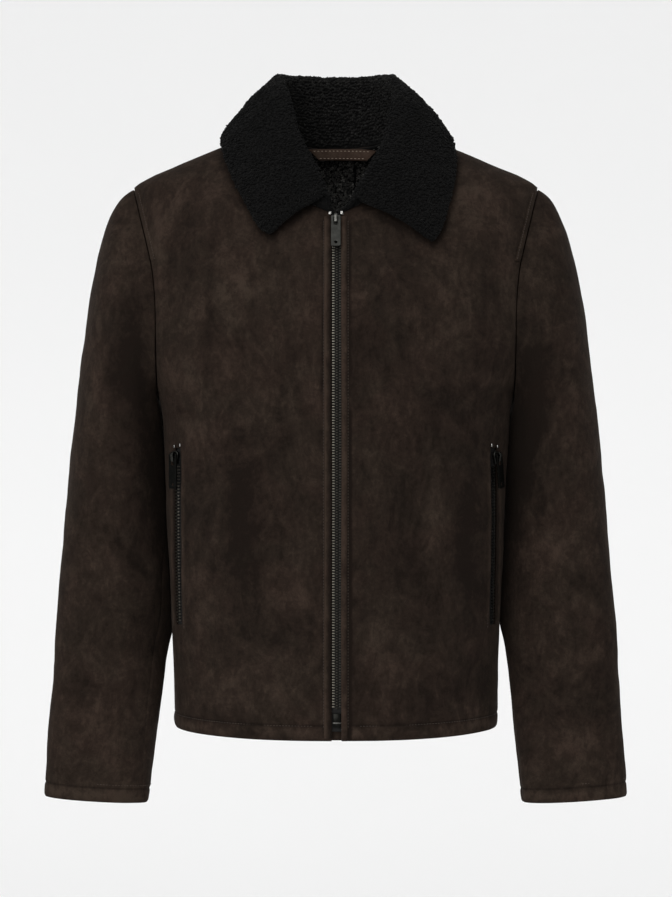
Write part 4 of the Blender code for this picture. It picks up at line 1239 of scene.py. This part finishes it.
def make_teeth():
    """Columns of small teeth down each zip."""
    for name, node, side, top, bottom, out, pitch, turn, columns in CHAINS:
        for number, (off, wide, shift, tooth_look) in enumerate(columns):
            frames = []
            for step in range(int((top - bottom) / pitch)):
                z = top - (step + shift) * pitch
                axes, place = cloth_frame(side * float(pocket_x(z)) if side else ZIP_SHIFT, z, out, turn)
                frames.append((axes, place + off * axes[:, 0]))
            shape = block_shape((wide, 1.7, 1.5), 0.42)
            nodes = () if number else (node,)
            repeat_shape(f"{name}_{number + 1}", shape, frames, tooth_look, "dark_metal", *nodes)


def make_outline(name, loops, depth, bevel, material, rides, matrix, *nodes):
    """A flat outline with holes, given its thickness and rounded edges."""
    curve = bpy.data.curves.new(name, "CURVE")
    curve.dimensions = "2D"
    curve.fill_mode = "BOTH"
    curve.extrude = (0.5 * depth - bevel) * MM
    curve.bevel_depth = bevel * MM
    curve.bevel_resolution = 2
    curve.offset = -bevel * MM
    for loop in loops:
        spline = curve.splines.new("POLY")
        spline.points.add(len(loop) - 1)
        for point, (x, y) in zip(spline.points, loop):
            point.co = (x * MM, y * MM, 0.0, 1.0)
        spline.use_cyclic_u = True
    made = bpy.data.objects.new(name, curve)
    mesh = bpy.data.meshes.new_from_object(made)
    bpy.data.objects.remove(made)
    bpy.data.curves.remove(curve)
    mesh.name = name
    # the outline's y runs up the piece and its depth across the cloth
    mesh.transform(matrix @ Matrix(((1, 0, 0, 0), (0, 0, -1, 0), (0, 1, 0, 0), (0, 0, 0, 1))))
    mesh.materials.clear()
    mesh.materials.append(material)
    mesh.shade_smooth()
    hard_piece(name, mesh, "dark_metal", rides, *nodes)


def arc(radius, x, y, start, end, steps):
    angles = np.radians(np.linspace(start, end, steps))
    return [(x + radius * math.cos(a), y + radius * math.sin(a)) for a in angles]


def rounded_box(wide, high, radius, y):
    """A box round (0, y) with rounded corners."""
    points = []
    for cx, cy, start in ((1, 1, 0), (-1, 1, 90), (-1, -1, 180), (1, -1, 270)):
        points += arc(radius, cx * (wide / 2 - radius), y + cy * (high / 2 - radius), start, start + 90, 7)
    return points


def circle(radius, y=0.0):
    return arc(radius, 0.0, y, 0, 342, 20)


TAB_BAR, TAB_LENGTH, TAB_WIDTH, TAB_THICK = 1.2, 38.0, 10.5, 1.6
BRIDGE_UP, BRIDGE_OUT = 3.0, 4.6
SLIDERS = (
    ("front", 0.0, -108.5, 0.0, 0.0, 0.0),
    ("pocket_right", -171.0, -362.0, 2.9, 22.0, 0.0),
    ("pocket_left", 171.0, -362.0, 2.4, -6.0, -8.0),
)


def as_matrix(axes, place):
    matrix = Matrix(axes.tolist()).to_4x4()
    matrix.translation = Vector((place * MM).tolist())
    return matrix


def make_sliders():
    right = [(2.1, 7.0), (4.3, 5.2), (4.4, 1.0), (3.4, -2.5), (3.2, -7.0)]
    body_outline = right + [(-x, y) for x, y in reversed(right)]
    rim, back = 3.2, BRIDGE_OUT - 1.3
    bridge = [(back, -7.0), (-1.3, -7.0)] + arc(rim, 0.0, 0.0, 220, 90, 10) + [(back, rim)]
    tab = [
        rounded_box(TAB_WIDTH, TAB_LENGTH, 1.6, TAB_BAR - TAB_LENGTH / 2),
        rounded_box(4.6, 10.0, 0.9, -TAB_BAR - 5.0),
        circle(1.6, TAB_BAR - TAB_LENGTH + 4.5),
    ]
    for name, x, z, lift, turn, lean in SLIDERS:
        crown, plate = (LIT_METAL_LOOK, METAL_LOOK) if name == "front" else (METAL_LOOK, BLACK_METAL_AND_SHADE_LOOK)
        here = as_matrix(*cloth_frame(x, z, lift, turn, lean))
        hinge = here @ Matrix.Translation(Vector((0.0, -BRIDGE_OUT, BRIDGE_UP)) * MM)
        sideways = hinge @ Matrix.Rotation(math.pi / 2, 4, "Z")
        slider, tab_node = f"{name}_slider", f"{name}_pull_tab"
        make_outline(f"{slider}_body", [body_outline], 3.8, 0.6, METAL_LOOK, "jacket", here, slider)
        make_outline(f"{slider}_bridge", [bridge, circle(1.9)], 3.4, 0.4, crown, "jacket", sideways)
        make_outline(f"{tab_node}_plate", tab, TAB_THICK, 0.35, plate, f"{name}_tab", hinge, tab_node)


def make_clip(name, size, bevel, place, material, *nodes):
    repeat_shape(name, block_shape(size, bevel), [cloth_frame(*place)], material, "dark_metal", *nodes)


def make_zip_ends():
    for side, sign in (("left", 1), ("right", -1)):
        node = f"front_zip_stop_{side}"
        make_clip(f"{node}_clip", (3.4, 2.0, 4.2), 0.6, (sign * 6.3, -100.5, 1.6), STEEL_LOOK, node)
        for place, shift, rise in (("inner", -3.6, 3.2), ("outer", 3.0, 1.8)):
            node = f"pocket_{side}_stop_{place}"
            at = (sign * (POCKET_X + shift), POCKET_TOP + rise, 1.4)
            make_clip(f"{node}_clip", (3.2, 1.7, 3.4), 0.5, at, STEEL_LOOK, node)
    box_at, lit_band_at = ((ZIP_SHIFT, z, -0.8) for z in (-642.0, -644.6))
    make_clip("front_zip_box_clip", (8.6, 2.8, 15.5), 0.7, box_at, BLACK_METAL_AND_SHADE_LOOK, "front_zip_box")
    # a band of paler metal round the box: a painted highlight across it
    make_clip("front_zip_box_lit_band", (9.2, 3.4, 1.6), 0.4, lit_band_at, LIT_METAL_LOOK)


def stitch_run(points, normals, pitch=3.3):
    """Frames for stitches along a line."""
    run = run_along(points)
    frames = []
    for at in np.arange(0.5 * pitch, run[-1] - 0.5 * pitch, pitch):
        read = lambda values, where: np.array([np.interp(where, run, values[:, i]) for i in range(3)])
        ahead = read(points, at + 0.5) - read(points, at - 0.5)
        ahead /= np.linalg.norm(ahead)
        out = read(normals, at)
        out -= (out @ ahead) * ahead
        out /= np.linalg.norm(out)
        frames.append((np.stack([np.cross(ahead, out), out, ahead], 1), read(points, at)))
    return frames


def stitch_shape(length, radius):
    def build(work):
        bmesh.ops.create_icosphere(work, subdivisions=1, radius=1.0)
        bmesh.ops.scale(work, vec=Vector((radius, radius, 0.5 * length)), verts=work.verts)

    return shape_mesh(build)


def make_stitches():
    seams, loop = [], []
    for sign in (1, -1):
        mirror = np.array([sign, 1, 1])

        def sew(x, z, out, is_front=True):
            line, normal = on_body(x, z, out + 0 * z, is_front), body_normal(angle_at(z, x), z, is_front)
            seams.extend(stitch_run(line * mirror, normal * mirror))

        z = np.linspace(-650.0, -108.0, 300)
        sew(13.1 + 0 * z, z, 0.15)
        for is_front in (True, False):
            z = np.linspace(-148.0, -70.0, 60)
            sew(smooth(ARMHOLE, z, 1) - STRAP_STITCHES, z, 1.5, is_front)
            angle = np.linspace(0.09 if is_front else 0.0, math.pi / 2 - 0.03, 200)
            z = HEM + HEM_STITCHES + 0 * angle
            normal = body_normal(angle, z, is_front)
            seams += stitch_run((body(angle, z, is_front) - 0.45 * normal) * mirror, normal * mirror)
        z = np.linspace(POCKET_BOTTOM - 3.0, POCKET_TOP - 6.0, 90)
        for off in (-6.6, 6.6):
            sew(pocket_x(z) + off, z, 0.25)
        angle = np.linspace(0.0, 2 * math.pi, 240)
        line = sleeve_point(CUFF_STITCHES, angle, LEFT_CLEAR if sign > 0 else 0.0)
        normal = (line - line.mean(0)) * np.array([1.0, 1.0, 0.0])
        normal /= np.linalg.norm(normal, axis=1, keepdims=True)
        seams += stitch_run((line - 0.4 * normal) * mirror, normal * mirror)
    for z, half in ((-19.0, 34.0), (-27.2, 27.0)):
        x = np.linspace(LOOP_X - half, LOOP_X + half, 60)
        loop += stitch_run(loop_point(x, z + 0 * x) + 1.3 * TO_FRONT, np.tile(TO_FRONT, (60, 1)), 4.3)
    repeat_shape("topstitching", stitch_shape(2.4, 0.33), seams, THREAD_LOOK, "suede")
    repeat_shape("hanger_loop_stitches", stitch_shape(2.7, 0.5), loop, PALE_THREAD_LOOK, "suede")


# The floor, the light and the camera are in metres
FLOOR, FLOOR_FRONT, TURN_AT, TURN, WALL_TOP, FLOOR_HALF = -2.65, -8.8, 8.4, 3.2, 10.3, 14.0
CAMERA_AWAY, CAMERA_HEIGHT = 3.2, -0.3526
FOCAL_SHARE = 2889.4 / 897.0  # the focal length as a share of the picture's height
SENSOR = 36.0


def make_floor():
    """A pale floor that turns up far behind into a pale wall."""
    turned = [math.radians(90.0 * i / 16) for i in range(1, 17)]
    profile = [(FLOOR_FRONT, FLOOR), (TURN_AT, FLOOR)]
    profile += [(TURN_AT + TURN * math.sin(a), FLOOR + TURN * (1 - math.cos(a))) for a in turned]
    profile.append((TURN_AT + TURN, WALL_TOP))
    points = np.array([(x, y, z) for y, z in profile for x in (-FLOOR_HALF, FLOOR_HALF)]) / MM
    faces = [(2 * i, 2 * i + 1, 2 * i + 3, 2 * i + 2) for i in range(len(profile) - 1)]
    add_object("floor", new_mesh("floor", points, faces, PAPER_LOOK))


def soft_sun(name, comes_from, power, wide):
    light = bpy.data.lights.new(name, "SUN")
    light.energy = power
    light.angle = math.radians(wide)
    obj = add_object(name, light)
    obj.rotation_mode = "QUATERNION"
    obj.rotation_quaternion = (-Vector(comes_from)).to_track_quat("-Z", "Y")


def make_light_and_camera():
    world = bpy.data.worlds.new("soft_room")
    world.use_nodes = True
    background = world.node_tree.nodes["Background"]
    background.inputs["Color"].default_value = (1.0, 1.0, 1.0, 1.0)
    background.inputs["Strength"].default_value = 0.34
    bpy.context.scene.world = world
    bpy.context.scene.view_settings.view_transform = "Standard"
    soft_sun("front", (-0.30, -1.0, 0.32), 1.30, 40.0)
    soft_sun("above", (-0.2, -0.35, 1.0), 0.75, 60.0)
    camera = bpy.data.cameras.new("camera")
    camera.sensor_width = SENSOR
    camera.lens = FOCAL_SHARE * SENSOR
    camera.clip_end = 60.0
    obj = add_object("camera", camera)
    obj.location = (0.0002, -CAMERA_AWAY, CAMERA_HEIGHT)
    obj.rotation_euler = (math.pi / 2, 0.0, 0.0)
    bpy.context.scene.camera = obj


for side, sign in (("left", 1), ("right", -1)):
    make_front(side, sign)
    make_straps(side, sign)
    make_edge_strip(side, sign)
    make_pocket_tape(side, sign)
make_back()
for part in ("upper", "under"):
    make_sleeve("right", -1, RIGHT_SEAMS, 0.0, RIGHT_SLEEVE_CREASES, part)
    make_sleeve("left", 1, LEFT_SEAMS, LEFT_CLEAR, LEFT_SLEEVE_CREASES, part)
make_collar()
make_facing()
make_loop()
body_strip(
    "front_zip_tape_cloth", 14.0, -103.0, -654.0, -2.8, 0.8, TAPE_LOOK, "zip_tape", "front_zip_tape", (0.028, 0.56)
)
body_strip("underlap_suede", 19.0, -108.0, -663.5, -4.2, 1.6, SUEDE_LOOK, "suede", "underlap", (0.038, 0.56))
make_teeth()
make_sliders()
make_zip_ends()
make_stitches()
make_floor()
make_light_and_camera()
